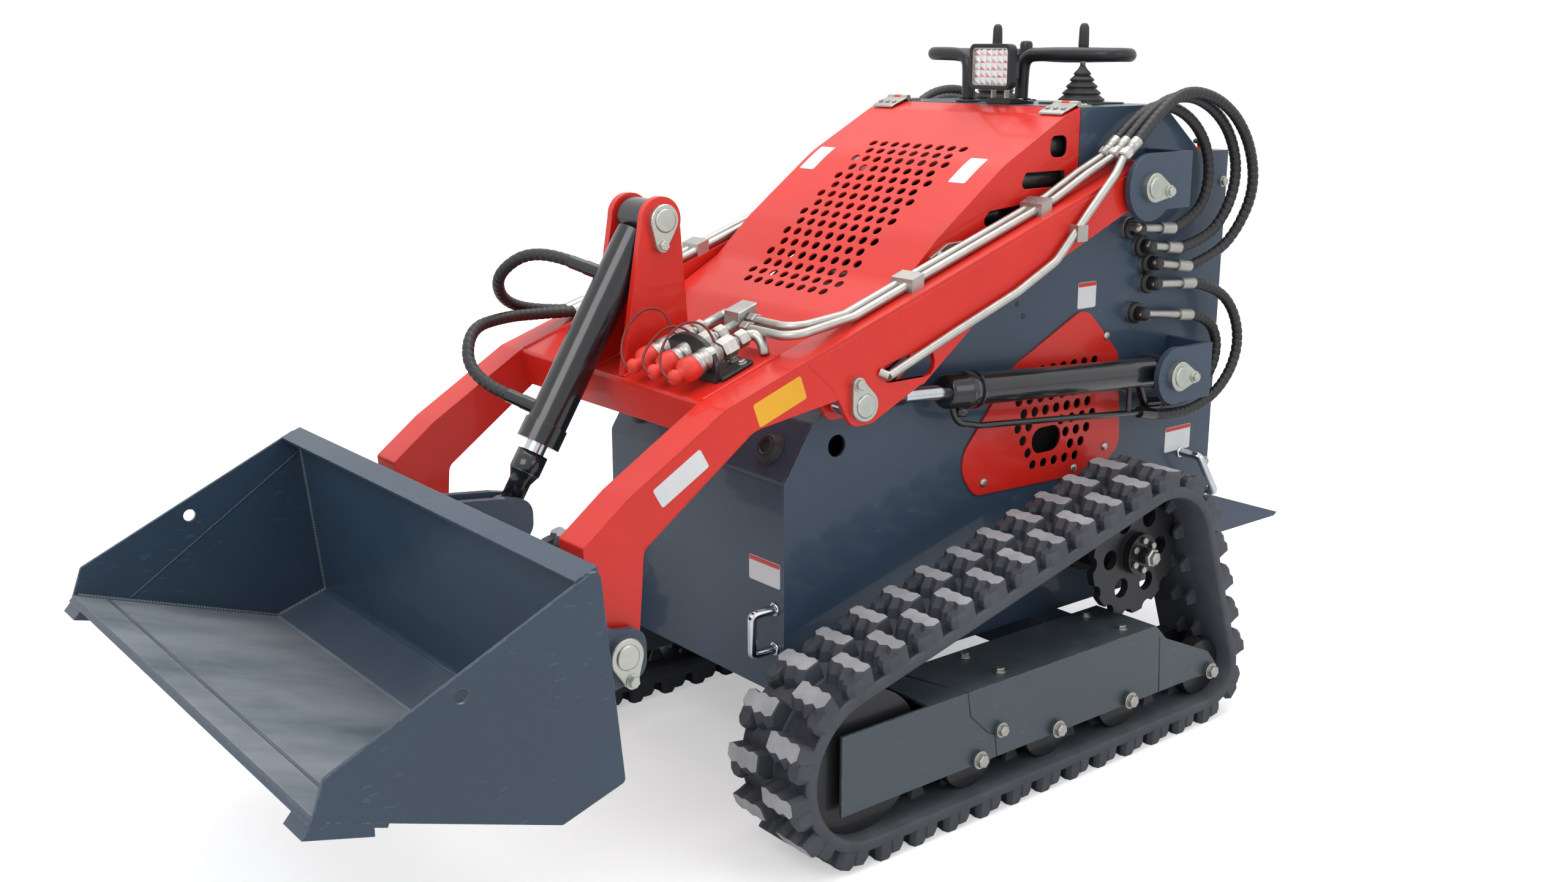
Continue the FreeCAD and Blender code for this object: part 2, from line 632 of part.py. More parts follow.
# Lift cylinders
def cylinder_frame(rear, front):
    span = math.hypot(front[0] - rear[0], front[1] - rear[1])
    way = V(0, (front[0] - rear[0]) / span, (front[1] - rear[1]) / span)
    return span, way


LIFT_X = (ARM_IN + ARM_OUT) / 2
span, way = cylinder_frame(LIFT_REAR, LIFT_FRONT)
rear = V(LIFT_X, *LIFT_REAR)
front = V(LIFT_X, *LIFT_FRONT)
LIFT_BODY = span - 272
barrel = Part.makeCylinder(S["lift_r"], LIFT_BODY - 20, rear + way * 20, way)
barrel = join(barrel, Part.makeCylinder(S["lift_r"] + 4, 32, rear + way * (LIFT_BODY - 32), way),
              disc(LIFT_X - 27, LIFT_X + 27, LIFT_REAR, 34))
bore = Part.makeCylinder(S["rod_r"] + RUN, LIFT_BODY - 60, rear + way * 61, way)
barrel = barrel.cut(bore).cut(disc(LIFT_X - 40, LIFT_X + 40, LIFT_REAR, PIN + RUN))
PIPE = [(885, 633), (420, 676), (362, 690), (348, 727)]
PIPE_END = (LIFT_X, 932, 622)
PORT_X = HALF + 30
PORT_END = (PORT_X, 965, 638)
pipe = tube([(LIFT_X,) + p for p in PIPE], 6, 40)
crimp = bar(PIPE_END, (LIFT_X,) + PIPE[0], S["crimp_r"])
clip = bar((LIFT_X, 850, 700), (LIFT_X, 850, 632), 5)
port = join(bar((PORT_X + 6, 893, 696), (PORT_X, 925, 642), 8), Part.makeSphere(8.5, V(PORT_X, 925, 642)),
            bar((PORT_X, 925, 642), PORT_END, S["crimp_r"]))
lift_barrel = join(barrel, pipe, crimp, clip, port).cut(bore)
both("lift_barrel", lift_barrel, 1)
rod = Part.makeCylinder(S["rod_r"], span - 160, rear + way * 140, way)
rod = join(rod, disc(LIFT_X - 17, LIFT_X + 17, LIFT_FRONT, 26))
both("lift_rod", rod, 1)

# Tilt cylinder
tilt_span, tilt_way = cylinder_frame(MAST, EYE)
top = V(0, *MAST)
TILT_BODY = tilt_span - 136
barrel = Part.makeCylinder(S["tilt_r"], TILT_BODY - 30, top + tilt_way * 30, tilt_way)
barrel = join(barrel, Part.makeCylinder(S["tilt_r"] + 3, 36, top + tilt_way * (TILT_BODY - 36), tilt_way),
              disc(-32, 32, MAST, 34))
ports = []
PORT_WAY = V(-0.9, -0.36, 0.24).normalize()
TILT_PORTS = []
for place in (118, TILT_BODY - 55):
    at = top + tilt_way * place
    end = at + PORT_WAY * 95
    ports.append(Part.makeCylinder(13, 62, at, PORT_WAY))
    ports.append(Part.makeCylinder(S["crimp_r"], 95, at, PORT_WAY))
    TILT_PORTS.append((end.x, end.y, end.z))
barrel = join(barrel, *ports)
barrel = barrel.cut(Part.makeCylinder(S["rod_r"] + 4 + RUN, TILT_BODY - 80, top + tilt_way * 81, tilt_way))
barrel = barrel.cut(disc(-40, 40, MAST, PIN + RUN))
tilt_barrel = barrel
add("tilt_barrel", tilt_barrel, 1)
rod = Part.makeCylinder(S["rod_r"] + 4, tilt_span - 120, top + tilt_way * 90, tilt_way)
rod = join(rod, Part.makeCylinder(26, 36, top + tilt_way * (tilt_span - 118), tilt_way),
           Part.makeCone(26, 17, 14, top + tilt_way * (tilt_span - 82), tilt_way),
           Part.makeCylinder(17, 60, top + tilt_way * (tilt_span - 70), tilt_way), disc(-17, 17, EYE, 34))
add("tilt_rod", rod, 1)

# Bucket
SHEET = S["sheet_t"]
B_HALF = S["bucket_half"]
BUCKET_SIDE = [(-531, 660, 12), (-498, 328, 8), (-604, 294, 8), (-961, 417), (-942, 469, 6)]
SHELL = [(-531, 660), (-498, 328, 10), (-604, 294, 12), (-961, 417), (-959, 423),
         (-604, 301, 12), (-505, 333, 10), (-536, 650), (-566, 640), (-568, 646)]
side = plate(BUCKET_SIDE, B_HALF - SHEET, B_HALF).cut(disc(B_HALF - 25, B_HALF + 15, (-748, 528), 11))
shell = plate(SHELL, -B_HALF + SHEET, B_HALF - SHEET)
add("bucket", join(shell, side, mirrored(side)), 1)
EDGE = [(-961, 417), (-860, 382.2), (-862, 376.5), (-966, 412)]
skid = [(-976, 396), (-880, 370), (-880, 384), (-962, 412)]
edge = plate(EDGE, -B_HALF, B_HALF)
for x in (B_HALF - 60, -B_HALF):
    edge = join(edge, plate(skid, x, x + 60))
add("cutting_edge", edge, 1)


def on_back(z, off):
    """Point behind the bucket's back plate."""
    share = (660 - z) / (660 - 328)
    return (-531 + 33 * share + off, z)


hitch = plate([on_back(640, 0), on_back(640, 10), on_back(345, 10), on_back(345, 0)], -390, 390)
PIN_EAR = [on_back(540, 9), BUCKET_PIN + (42,), on_back(380, 9)]
lug = [on_back(540, 9), (BUCKET_PIN[0] - 10, BUCKET_PIN[1] + 42, 10), (BUCKET_PIN[0] + 42, BUCKET_PIN[1] + 36, 30),
       (BUCKET_PIN[0] + 42, BUCKET_PIN[1] - 42, 30), on_back(380, 9)]
for x0, x1 in ((ARM_IN - 21, ARM_IN - 6), (ARM_OUT + 6, ARM_OUT + 21)):
    hitch = join(hitch, plate(lug, x0, x1), plate(lug, -x1, -x0))
for sign in (-1, 1):
    reach = sorted((sign * (ARM_IN - 21), sign * (ARM_OUT + 21)))
    cap = sorted((sign * (ARM_OUT + 21), sign * (ARM_OUT + 31)))
    hitch = join(hitch, disc(reach[0], reach[1], BUCKET_PIN, PIN), disc(cap[0], cap[1], BUCKET_PIN, 24))
knuckle = [on_back(635, 9), (EYE[0] - 10, EYE[1] + 40, 10), (EYE[0] + 38, EYE[1] + 30, 30),
           (EYE[0] + 38, EYE[1] - 38, 30), on_back(530, 9)]
for x0, x1 in ((20, 34), (-34, -20)):
    hitch = join(hitch, plate(knuckle, x0, x1))
add("hitch_plate", hitch, 1)


def arm_top(y):
    """Height of the arm's top line."""
    share = (PIVOT[0] - y) / (PIVOT[0] + 188)
    return PIVOT[1] + 50 + (800 - PIVOT[1] - 50) * share


# Fittings in the side plates: grommet, body, elbow, adapter and crimp
FIT_X = HALF + 30
CRIMP = S["crimp_r"]
FITS = [(875, 1004, 985, 996), (914, 966, 1008, 955), (939, 929, 1045, 914),   # y, z, end y, end z
        (939, 887, 1062, 878), (904, 829, 1060, 812)]


def fitting(y, z, end_y, end_z):
    run = V(0, end_y - y, end_z - z).normalize()
    end = V(FIT_X, end_y, end_z)
    neck = end - run * 42
    return join(disc(HALF, HALF + 8, (y, z), 20), disc(HALF, FIT_X, (y, z), 10),
                Part.makeSphere(11, V(FIT_X, y, z)), bar((FIT_X, y, z), neck, 8), bar(neck, end, CRIMP))


left = [fitting(*f) for f in FITS]
fittings = group(*left, *[mirrored(left[i]) for i in (0, 1, 3, 4)])
add("bulkhead_fittings", fittings, 9)

# Quick couplers with caps, in a bracket on the cross plate
def on_plate(y, off):
    """Height above the cross plate's top."""
    return 800 + (y + 186) * 58.0 / 166 + off


COUPLER_X = (ARM_IN - 168, ARM_IN - 125, ARM_IN - 99)
LIFT_OFF = 36   # coupler's middle above the plate
pieces = []
for x in COUPLER_X:
    for radius, y0, y1 in ((19, -220, -180), (15, -184, -92), (10, -95, -12)):
        pieces.append(bar((x, y0, on_plate(y0, LIFT_OFF)), (x, y1, on_plate(y1, LIFT_OFF)), radius))
x = COUPLER_X[0]
pieces.append(bar((x, -26, on_plate(-26, LIFT_OFF)), (x, -26, on_plate(-26, 0)), 8))
foot = [(-134, on_plate(-134, 0)), (-110, on_plate(-110, 0)), (-110, on_plate(-110, 5)),
        (-128, on_plate(-128, 5)), (-128, on_plate(-128, 62)), (-134, on_plate(-134, 62))]
couplers = join(*pieces).cut(cross_plate).fuse(plate(foot, ARM_IN - 193, ARM_IN - 23))
add("couplers", couplers, 1)

# Tubes along the arms; each ends in a crimp where its hose starts
TUBE = S["tube_r"]
TUBE_END = (800, 1178)
TUBE_NECK = (762, 1150)
LANES = (FIT_X - 3, FIT_X + 22, FIT_X + 47)
RISE = TUBE + 2
near_tubes = []
far_tubes = []
for x, across_y, end_x in ((LANES[0], -1, COUPLER_X[1]), (LANES[1], -27, COUPLER_X[2])):
    shared = [(x, *TUBE_NECK), (x, 690, arm_top(690) + RISE + 12), (x, 600, arm_top(600) + RISE),
              (x, 330, arm_top(330) + RISE)]
    near = shared + [(x, 110, arm_top(110) + RISE), (x, across_y, on_plate(across_y, LIFT_OFF)),
                     (end_x, across_y, on_plate(across_y, LIFT_OFF))]
    far = shared + [(x, 120, arm_top(120) + RISE), (x, -20, arm_top(-20) + RISE + 4)]
    crimp = bar((x, *TUBE_NECK), (x, *TUBE_END), CRIMP)
    near_tubes += [tube(near, TUBE, 36), crimp]
    fore = (x, -62, arm_top(-62) + RISE + 6)
    far_tubes += [tube(far, TUBE, 60), crimp, bar((x, -20, arm_top(-20) + RISE + 4), fore, CRIMP)]
corner = (COUPLER_X[1], -1, on_plate(-1, LIFT_OFF))
near_tubes += [Part.makeSphere(11, V(*corner)), bar(corner, (corner[0], -12, on_plate(-12, LIFT_OFF)), 9)]
x = ARM_OUT + 12
third = [(LANES[2], *TUBE_NECK), (x, 715, 1120), (x, 640, 1050), (x, 560, 972), (x, 460, 925),
         (x, 300, 868), (x, 150, 812)]
clip = box(ARM_OUT, x + 10, 606, 634, 1004, 1034)
third = join(tube(third, TUBE, 60), bar(third[6], (ARM_OUT, 140, 818), TUBE), clip,
             bar((LANES[2], *TUBE_NECK), (LANES[2], *TUBE_END), CRIMP))
clamps = []
for y in (560, 240):
    z = arm_top(y)
    clamps.append(plate([(y - 14, z - 4.8), (y + 14, z + 4.8), (y + 14, z + 29), (y - 14, z + 19.4)],
                        FIT_X - 14, FIT_X + 40))
near = join(*near_tubes, *clamps).cut(couplers).cut(arm)
# Couplings just outside the hood's width split the near tubes
SPLIT_X = HALF + 13
crossing = near.common(box(0, SPLIT_X, -200, 900, 700, 1400))
along = near.cut(box(0, SPLIT_X, -200, 900, 700, 1400))
third = third.cut(arm)
far = join(*far_tubes, *clamps).cut(arm)
pieces = crossing.Solids + along.Solids + third.Solids
add("arm_tubes_left", group(*pieces), len(pieces))
add("arm_tubes_right", mirrored(far), 1)

# Hoses, each from its fitting: (y, z) points of the loop
ARM_LOOPS = [
    [(985, 996), (1055, 1012), (1098, 1070), (1092, 1145), (1038, 1208), (955, 1242), (870, 1232), (800, 1178)],
    [(1008, 955), (1085, 966), (1142, 1020), (1160, 1100), (1128, 1180), (1060, 1236), (970, 1262),
     (872, 1240), (800, 1178)],
    [(1045, 914), (1115, 934), (1165, 990), (1185, 1068), (1165, 1150), (1110, 1216), (1030, 1258),
     (938, 1270), (862, 1232), (800, 1178)],
]
LIFT_LOOPS = [
    [(FIT_X, 1062, 878), (FIT_X + 8, 1125, 866), (FIT_X + 20, 1178, 820), (FIT_X + 30, 1195, 748),
     (FIT_X + 33, 1166, 680), (FIT_X + 33, 1100, 632), (FIT_X + 28, 1015, 612), PIPE_END],
    [(FIT_X, 1060, 812), (FIT_X + 2, 1116, 800), (FIT_X + 3, 1156, 752), (FIT_X + 3, 1148, 692),
     (FIT_X + 2, 1100, 648), (FIT_X + 1, 1030, 630), PORT_END],
]
TILT_LOOPS = [
    [(-LANES[0], -62, arm_top(-62) + TUBE + 8), (-296, -132, 862), (-268, -225, 870), (-235, -320, 862),
     (-167, -358, 789), TILT_PORTS[1]],
    [(-LANES[1], -62, arm_top(-62) + TUBE + 8), (-322, -142, 866), (-285, -225, 900), (-225, -262, 960),
     (-158, -219, 1006.6), TILT_PORTS[0]],
]
ROUTES = {}
for i, loop in enumerate(ARM_LOOPS):
    lane = LANES[i]
    ROUTES["hose_arm_left_%d" % (i + 1)] = [
        (FIT_X + (lane - FIT_X) * min(1, k / 3), y, z) for k, (y, z) in enumerate(loop)]
for i, loop in enumerate(LIFT_LOOPS):
    ROUTES["hose_lift_left_%d" % (i + 1)] = loop
for i, loop in enumerate(TILT_LOOPS):
    ROUTES["hose_tilt_%d" % (i + 1)] = loop
ENDS = [fittings, near, third, mirrored(far), lift_barrel, tilt_barrel]
for name, route in ROUTES.items():
    print(name)
    hose = tube(route, S["hose_r"])
    for end in ENDS:
        if hose.BoundBox.intersect(end.BoundBox):
            hose = max(hose.cut(end).Solids, key=lambda solid: solid.Volume)
    add(name, hose, 1)
    if name in ("hose_arm_left_1", "hose_arm_left_2", "hose_lift_left_1", "hose_lift_left_2"):
        add(name.replace("left", "right"), mirrored(hose), 1)

doc.recompute()
os.makedirs("parts", exist_ok=True)
for piece in nodes:
    if "Invalid" in piece.State or "Error" in piece.State:
        raise RuntimeError("bad state: " + piece.Label)
    if piece.Shape.isNull() or not piece.Shape.isValid():
        raise RuntimeError("bad shape: " + piece.Label)
    piece.Shape.exportStep("parts/%s.step" % piece.Label)
whole = Part.makeCompound([piece.Shape for piece in nodes])
low, high = whole.BoundBox, None
print("nodes", len(nodes), "box", [round(v, 1) for v in (low.XMin, low.XMax, low.YMin, low.YMax, low.ZMin, low.ZMax)])
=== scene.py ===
# %% [markdown]
# A stand-on mini loader, dressed in Blender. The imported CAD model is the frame: every plate, arm and
# cylinder is already in place, in metres, and nothing here moves it. This file gives each surface its
# finish and adds what a CAD model leaves out, such as the wrap on the hoses, the bolts and the wear.

import math

import bmesh
import bpy
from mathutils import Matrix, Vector


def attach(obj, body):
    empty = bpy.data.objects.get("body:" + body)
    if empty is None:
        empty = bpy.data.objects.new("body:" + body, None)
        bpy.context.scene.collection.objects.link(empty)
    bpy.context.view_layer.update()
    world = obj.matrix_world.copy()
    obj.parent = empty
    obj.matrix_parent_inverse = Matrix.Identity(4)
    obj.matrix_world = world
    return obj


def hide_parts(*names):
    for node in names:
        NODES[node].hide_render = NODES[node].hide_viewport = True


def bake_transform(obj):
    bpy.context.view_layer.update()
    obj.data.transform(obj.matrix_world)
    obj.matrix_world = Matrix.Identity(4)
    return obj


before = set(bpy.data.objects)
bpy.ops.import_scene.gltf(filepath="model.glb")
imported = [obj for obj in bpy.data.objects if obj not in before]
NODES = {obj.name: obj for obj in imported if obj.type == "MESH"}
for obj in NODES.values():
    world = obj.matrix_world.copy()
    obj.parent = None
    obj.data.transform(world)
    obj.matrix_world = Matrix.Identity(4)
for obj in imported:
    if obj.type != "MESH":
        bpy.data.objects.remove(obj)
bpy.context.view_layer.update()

# %% [markdown]
# The camera stands where the photographer stood, in front of the machine and to its left. A lens a
# little longer than 35 mm was found by lining up the straight edges of the body with the photograph.

# %% Camera
CAMERA_PLACE = Vector((2.273, -1.880, 1.357))
CAMERA_TURN = math.radians(51.08)
CAMERA_DOWN = math.radians(14.24)


def new_object(name, data):
    """An object with this data, linked to the scene."""
    thing = bpy.data.objects.new(name, data)
    bpy.context.scene.collection.objects.link(thing)
    return thing


camera = new_object("camera", bpy.data.cameras.new("camera"))
camera.location = CAMERA_PLACE
camera.rotation_euler = (math.pi / 2 - CAMERA_DOWN, 0, CAMERA_TURN)
camera.data.sensor_width = 36
camera.data.lens = 35.94
camera.data.clip_start = 0.05
bpy.context.scene.camera = camera
print("camera looks along", camera.rotation_euler[:])

# %% [markdown]
# The hoses come first, because their routes decide how much room they need. Each one is a smooth
# spline through the same points that the CAD tube uses. The rubber is a tube that follows points read
# from that spline.

# %% Hose routes
PHOTO_SHIFT = -0.263
HOSE_RADIUS = 0.011
SIDES = (1, -1)
SIDE_NAMES = ((1, "left"), (-1, "right"))
# Distances from the machine's middle plane to its outer faces and its lift cylinders, in mm
BODY_X, LIFT_X, ARM_X, RAIL_X = 270, 320, 355, 485


def row(points):
    """Points of the machine's own drawing, in mm from its nose, as metres in the frame."""
    return [Vector((x / 1000, y / 1000 + PHOTO_SHIFT, z / 1000)) for x, y, z in points]


def at(x, y, z):
    return row([(x, y, z)])[0]


def smooth_line(points, fineness=12):
    """Points along a NURBS spline that has these control points."""
    curve = bpy.data.curves.new("route", "CURVE")
    curve.dimensions = "3D"
    spline = curve.splines.new("NURBS")
    spline.points.add(len(points) - 1)
    for knot, place in zip(spline.points, points):
        knot.co = (*place, 1)
    spline.order_u = 3
    spline.use_endpoint_u = True
    spline.resolution_u = fineness
    holder = bpy.data.objects.new("route", curve)
    line = bpy.data.meshes.new_from_object(holder)
    places = [vertex.co.copy() for vertex in line.vertices]
    bpy.data.objects.remove(holder)
    bpy.data.meshes.remove(line)
    bpy.data.curves.remove(curve)
    return places


def mesh_piece(name, mesh_code, materials=()):
    """A new object whose mesh is built by a bmesh function."""
    data = bpy.data.meshes.new(name)
    bm = bmesh.new()
    mesh_code(bm)
    bmesh.ops.recalc_face_normals(bm, faces=bm.faces)
    bm.to_mesh(data)
    bm.free()
    for material in materials:
        data.materials.append(material)
    return new_object(name, data)


def skin(bm, rings, slot=0, smooth=False, first=False, last=False):
    """Faces from ring to ring of vertices, and over the first and the last ring where asked."""
    made = []
    for a, b in zip(rings, rings[1:]):
        for k in range(len(a)):
            made.append(bm.faces.new((a[k], a[(k + 1) % len(a)], b[(k + 1) % len(a)], b[k])))
            made[-1].smooth = smooth
    if first:
        made.append(bm.faces.new(rings[0][::-1]))
    if last:
        made.append(bm.faces.new(rings[-1]))
    for face in made:
        face.material_index = slot


def sweep(bm, line, radius_at, sides):
    """A round tube along a line; radius_at(distance) gives its radius."""
    rings = []
    normal = None
    run = 0.0
    for i, place in enumerate(line):
        ahead = line[min(i + 1, len(line) - 1)] - line[max(i - 1, 0)]
        ahead.normalize()
        if normal is None:
            normal = ahead.orthogonal().normalized()
        normal = (normal - ahead * normal.dot(ahead)).normalized()
        side = ahead.cross(normal)
        if i:
            run += (place - line[i - 1]).length
        radius = radius_at(run)
        ring = []
        for k in range(sides):
            angle = 2 * math.pi * k / sides
            ring.append(bm.verts.new(place + radius * (normal * math.cos(angle) + side * math.sin(angle))))
        rings.append(ring)
    skin(bm, rings, smooth=True, first=True, last=True)
    return rings

# %% [markdown]
# Two or more finishes share each of the effects below, so each one is a node group with named sockets:
# paint worn thin along edges, the slight ripple of sprayed paint, dust that settles on faces that look
# up, and fine scratches. On the track frames the up-facing mask paints light instead of dust: a paler
# grey on their tops. The Bevel node finds edges without any extra geometry, and its normal also softens
# them. A group only puts out masks, heights and normals; each shader stays in its material.

# %% Node groups for wear, ripple, dust and scratches


def new_group(name, inputs, outputs):
    """An empty shader group with float inputs (label, value) and outputs (label, kind)."""
    group = bpy.data.node_groups.new(name, "ShaderNodeTree")
    for label, value in inputs:
        socket = group.interface.new_socket(name=label, in_out="INPUT", socket_type="NodeSocketFloat")
        socket.default_value = value
    for label, kind in outputs:
        group.interface.new_socket(name=label, in_out="OUTPUT", socket_type=kind)
    return group, group.nodes.new("NodeGroupInput"), group.nodes.new("NodeGroupOutput")


def add_node(tree, kind, inputs=None, **settings):
    """A shader node with its settings, and its inputs given as values or as sockets to link."""
    node = tree.nodes.new("ShaderNode" + kind)
    for label, value in settings.items():
        setattr(node, label, value)
    for label, value in (inputs or {}).items():
        if isinstance(value, bpy.types.NodeSocket):
            tree.links.new(value, node.inputs[label])
        else:
            node.inputs[label].default_value = value
    return node


def maths(tree, operation, *values, clamp=False):
    """A Math node; each value is a socket or a number."""
    return add_node(tree, "Math", dict(enumerate(values)), operation=operation, use_clamp=clamp).outputs[0]


def noise(tree, scale, detail=4.0, rough=0.5, stretch=None):
    """Noise in the piece's own coordinates; scale is a number or a socket."""
    place = add_node(tree, "TexCoord").outputs["Object"]
    if stretch:
        place = add_node(tree, "Mapping", {"Scale": stretch, "Vector": place}).outputs[0]
    inputs = {"Vector": place, "Scale": scale, "Detail": detail, "Roughness": rough}
    return add_node(tree, "TexNoise", inputs).outputs["Fac"]


def between(tree, value, low, high):
    """0 below low, 1 above high, and smooth from one to the other."""
    inputs = {"Value": value, "From Min": low, "From Max": high}
    return add_node(tree, "MapRange", inputs, interpolation_type="SMOOTHSTEP").outputs["Result"]


def mask_out(group, inside, outside, first, second):
    """The group's Mask is two masks multiplied, times its Amount."""
    both = maths(group, "MULTIPLY", first, second)
    mask = maths(group, "MULTIPLY", both, inside.outputs["Amount"], clamp=True)
    group.links.new(mask, outside.inputs["Mask"])


def facing_share(tree, normal, way):
    """How far a normal looks one way, 1 where it is the same; way is a socket or a vector."""
    return add_node(tree, "VectorMath", {0: normal, 1: way}, operation="DOT_PRODUCT").outputs["Value"]


worn_edge, inside, outside = new_group(
    "worn edge", [("Width", 0.003), ("Breakup", 90.0), ("Amount", 1.0)],
    [("Mask", "NodeSocketFloat"), ("Normal", "NodeSocketVector")])
bevel = add_node(worn_edge, "Bevel", {"Radius": inside.outputs["Width"]}, samples=4)
surface = add_node(worn_edge, "NewGeometry")
facing = facing_share(worn_edge, bevel.outputs["Normal"], surface.outputs["Normal"])
sharp = between(worn_edge, maths(worn_edge, "SUBTRACT", 1.0, facing), 0.02, 0.25)
broken = between(worn_edge, noise(worn_edge, inside.outputs["Breakup"], 6, 0.65), 0.42, 0.62)
mask_out(worn_edge, inside, outside, sharp, broken)
worn_edge.links.new(bevel.outputs["Normal"], outside.inputs["Normal"])

ripple, inside, outside = new_group(
    "sprayed ripple", [("Scale", 60.0)], [("Height", "NodeSocketFloat")])
coarse = noise(ripple, inside.outputs["Scale"], 2, 0.4)
fine = maths(ripple, "MULTIPLY", noise(ripple, 900.0, 2, 0.5), 0.25)
ripple.links.new(maths(ripple, "ADD", coarse, fine), outside.inputs["Height"])

# Mask for faces that look up: settled dust on most finishes; on the rails it paints their tops paler, which
# is painted light.
dust_and_top_light, inside, outside = new_group(
    "dusty and lit tops", [("Amount", 0.5), ("Scale", 7.0)], [("Mask", "NodeSocketFloat")])
parts = add_node(dust_and_top_light, "SeparateXYZ", {0: add_node(dust_and_top_light, "TexCoord").outputs["Normal"]})
upward = between(dust_and_top_light, parts.outputs["Z"], 0.1, 0.95)
cloudy = between(dust_and_top_light, noise(dust_and_top_light, inside.outputs["Scale"], 8, 0.7), 0.35, 0.75)
mask_out(dust_and_top_light, inside, outside, upward, cloudy)

scratches, inside, outside = new_group(
    "fine scratches", [("Amount", 0.5)], [("Mask", "NodeSocketFloat")])
along = noise(scratches, 30.0, 2, 0.5, (1.0, 14.0, 14.0))
across = noise(scratches, 24.0, 2, 0.5, (18.0, 1.5, 5.0))
along = between(scratches, along, 0.64, 0.68)
across = between(scratches, across, 0.66, 0.69)
patch = between(scratches, noise(scratches, 5.0, 3, 0.5), 0.45, 0.6)
mask_out(scratches, inside, outside, maths(scratches, "MAXIMUM", along, across), patch)
print("groups", [group.name for group in bpy.data.node_groups])

# %% [markdown]
# Each finish of the machine is one material. The red is a gloss top coat over steel, the slate is a
# satin powder coat that shows scuffs, the rods are hard chrome, and the small hardware is bright zinc.
# Paints differ only in colour, gloss and wear, so one function builds them from a table. Rubber and
# metal are done the same way.

# %% Materials


def new_material(name, colour, roughness, metallic=0.0, coat=0.0, coat_roughness=0.1):
    material = bpy.data.materials.new(name)
    material.use_nodes = True
    shader = material.node_tree.nodes["Principled BSDF"]
    values = {"Base Color": (*colour, 1), "Roughness": roughness, "Metallic": metallic, "Coat Weight": coat,
              "Coat Roughness": coat_roughness}
    for label, value in values.items():
        shader.inputs[label].default_value = value
    material.diffuse_color = (*colour, 1)
    return material, material.node_tree, shader


def use_group(tree, group, **values):
    return add_node(tree, "Group", values, node_tree=group)


def mixed(tree, mask, first, second):
    """First colour where the mask is 0, second where it is 1; each is three numbers or a socket."""
    colours = [(*value, 1) if isinstance(value, tuple) else value for value in (first, second)]
    return add_node(tree, "Mix", {"Factor": mask, 6: colours[0], 7: colours[1]}, data_type="RGBA").outputs[2]


def bumped(tree, shader, height, distance, strength=1.0, **normal):
    inputs = {"Distance": distance, "Strength": strength, "Height": height}
    tree.links.new(add_node(tree, "Bump", {**inputs, **normal}).outputs[0], shader.inputs["Normal"])


def paint(name, colour, roughness, coat, bare, wear, dust_and_top_light_amount, scuffs, edge=0.0025, spray=70.0,
          dust_and_top_light_colour=(0.32, 0.29, 0.25)):
    """Sprayed steel: bare is what shows where the paint is worn through. Faces that look up take the dust
    colour, which on the rails is a pale grey that paints light on their tops.
    """
    material, tree, shader = new_material(name, colour, roughness, coat=coat, coat_roughness=0.06)
    shader.inputs["Specular IOR Level"].default_value = 0.35
    worn = use_group(tree, worn_edge, Width=edge, Breakup=110.0, Amount=wear)
    shade = between(tree, noise(tree, 3.0, 5, 0.6), 0.3, 0.7)
    darker = tuple(c * 0.86 for c in colour)
    base = mixed(tree, shade, darker, colour)
    pale_scuffs_and_sheen = use_group(tree, scratches, Amount=scuffs)
    pale = tuple(min(1, c * 1.7 + 0.03) for c in colour)
    base = mixed(tree, pale_scuffs_and_sheen.outputs["Mask"], base, pale)
    base = mixed(tree, worn.outputs["Mask"], base, bare)
    # Faces that look up take the dust colour; on the rails that colour is a pale grey, painted light on their
    # tops.
    dust_and_top_light_node = use_group(tree, dust_and_top_light, Amount=dust_and_top_light_amount, Scale=7.0)
    base = mixed(tree, dust_and_top_light_node.outputs["Mask"], base, dust_and_top_light_colour)
    tree.links.new(base, shader.inputs["Base Color"])
    rough = maths(tree, "MULTIPLY_ADD", noise(tree, 12.0, 6, 0.6), 0.16, roughness - 0.08)
    rough = maths(tree, "ADD", rough, maths(tree, "MULTIPLY", dust_and_top_light_node.outputs["Mask"], 0.3), clamp=True)
    tree.links.new(rough, shader.inputs["Roughness"])
    bumped(tree, shader, use_group(tree, ripple, Scale=spray).outputs["Height"], 0.0004, 0.35,
           Normal=worn.outputs["Normal"])
    return material


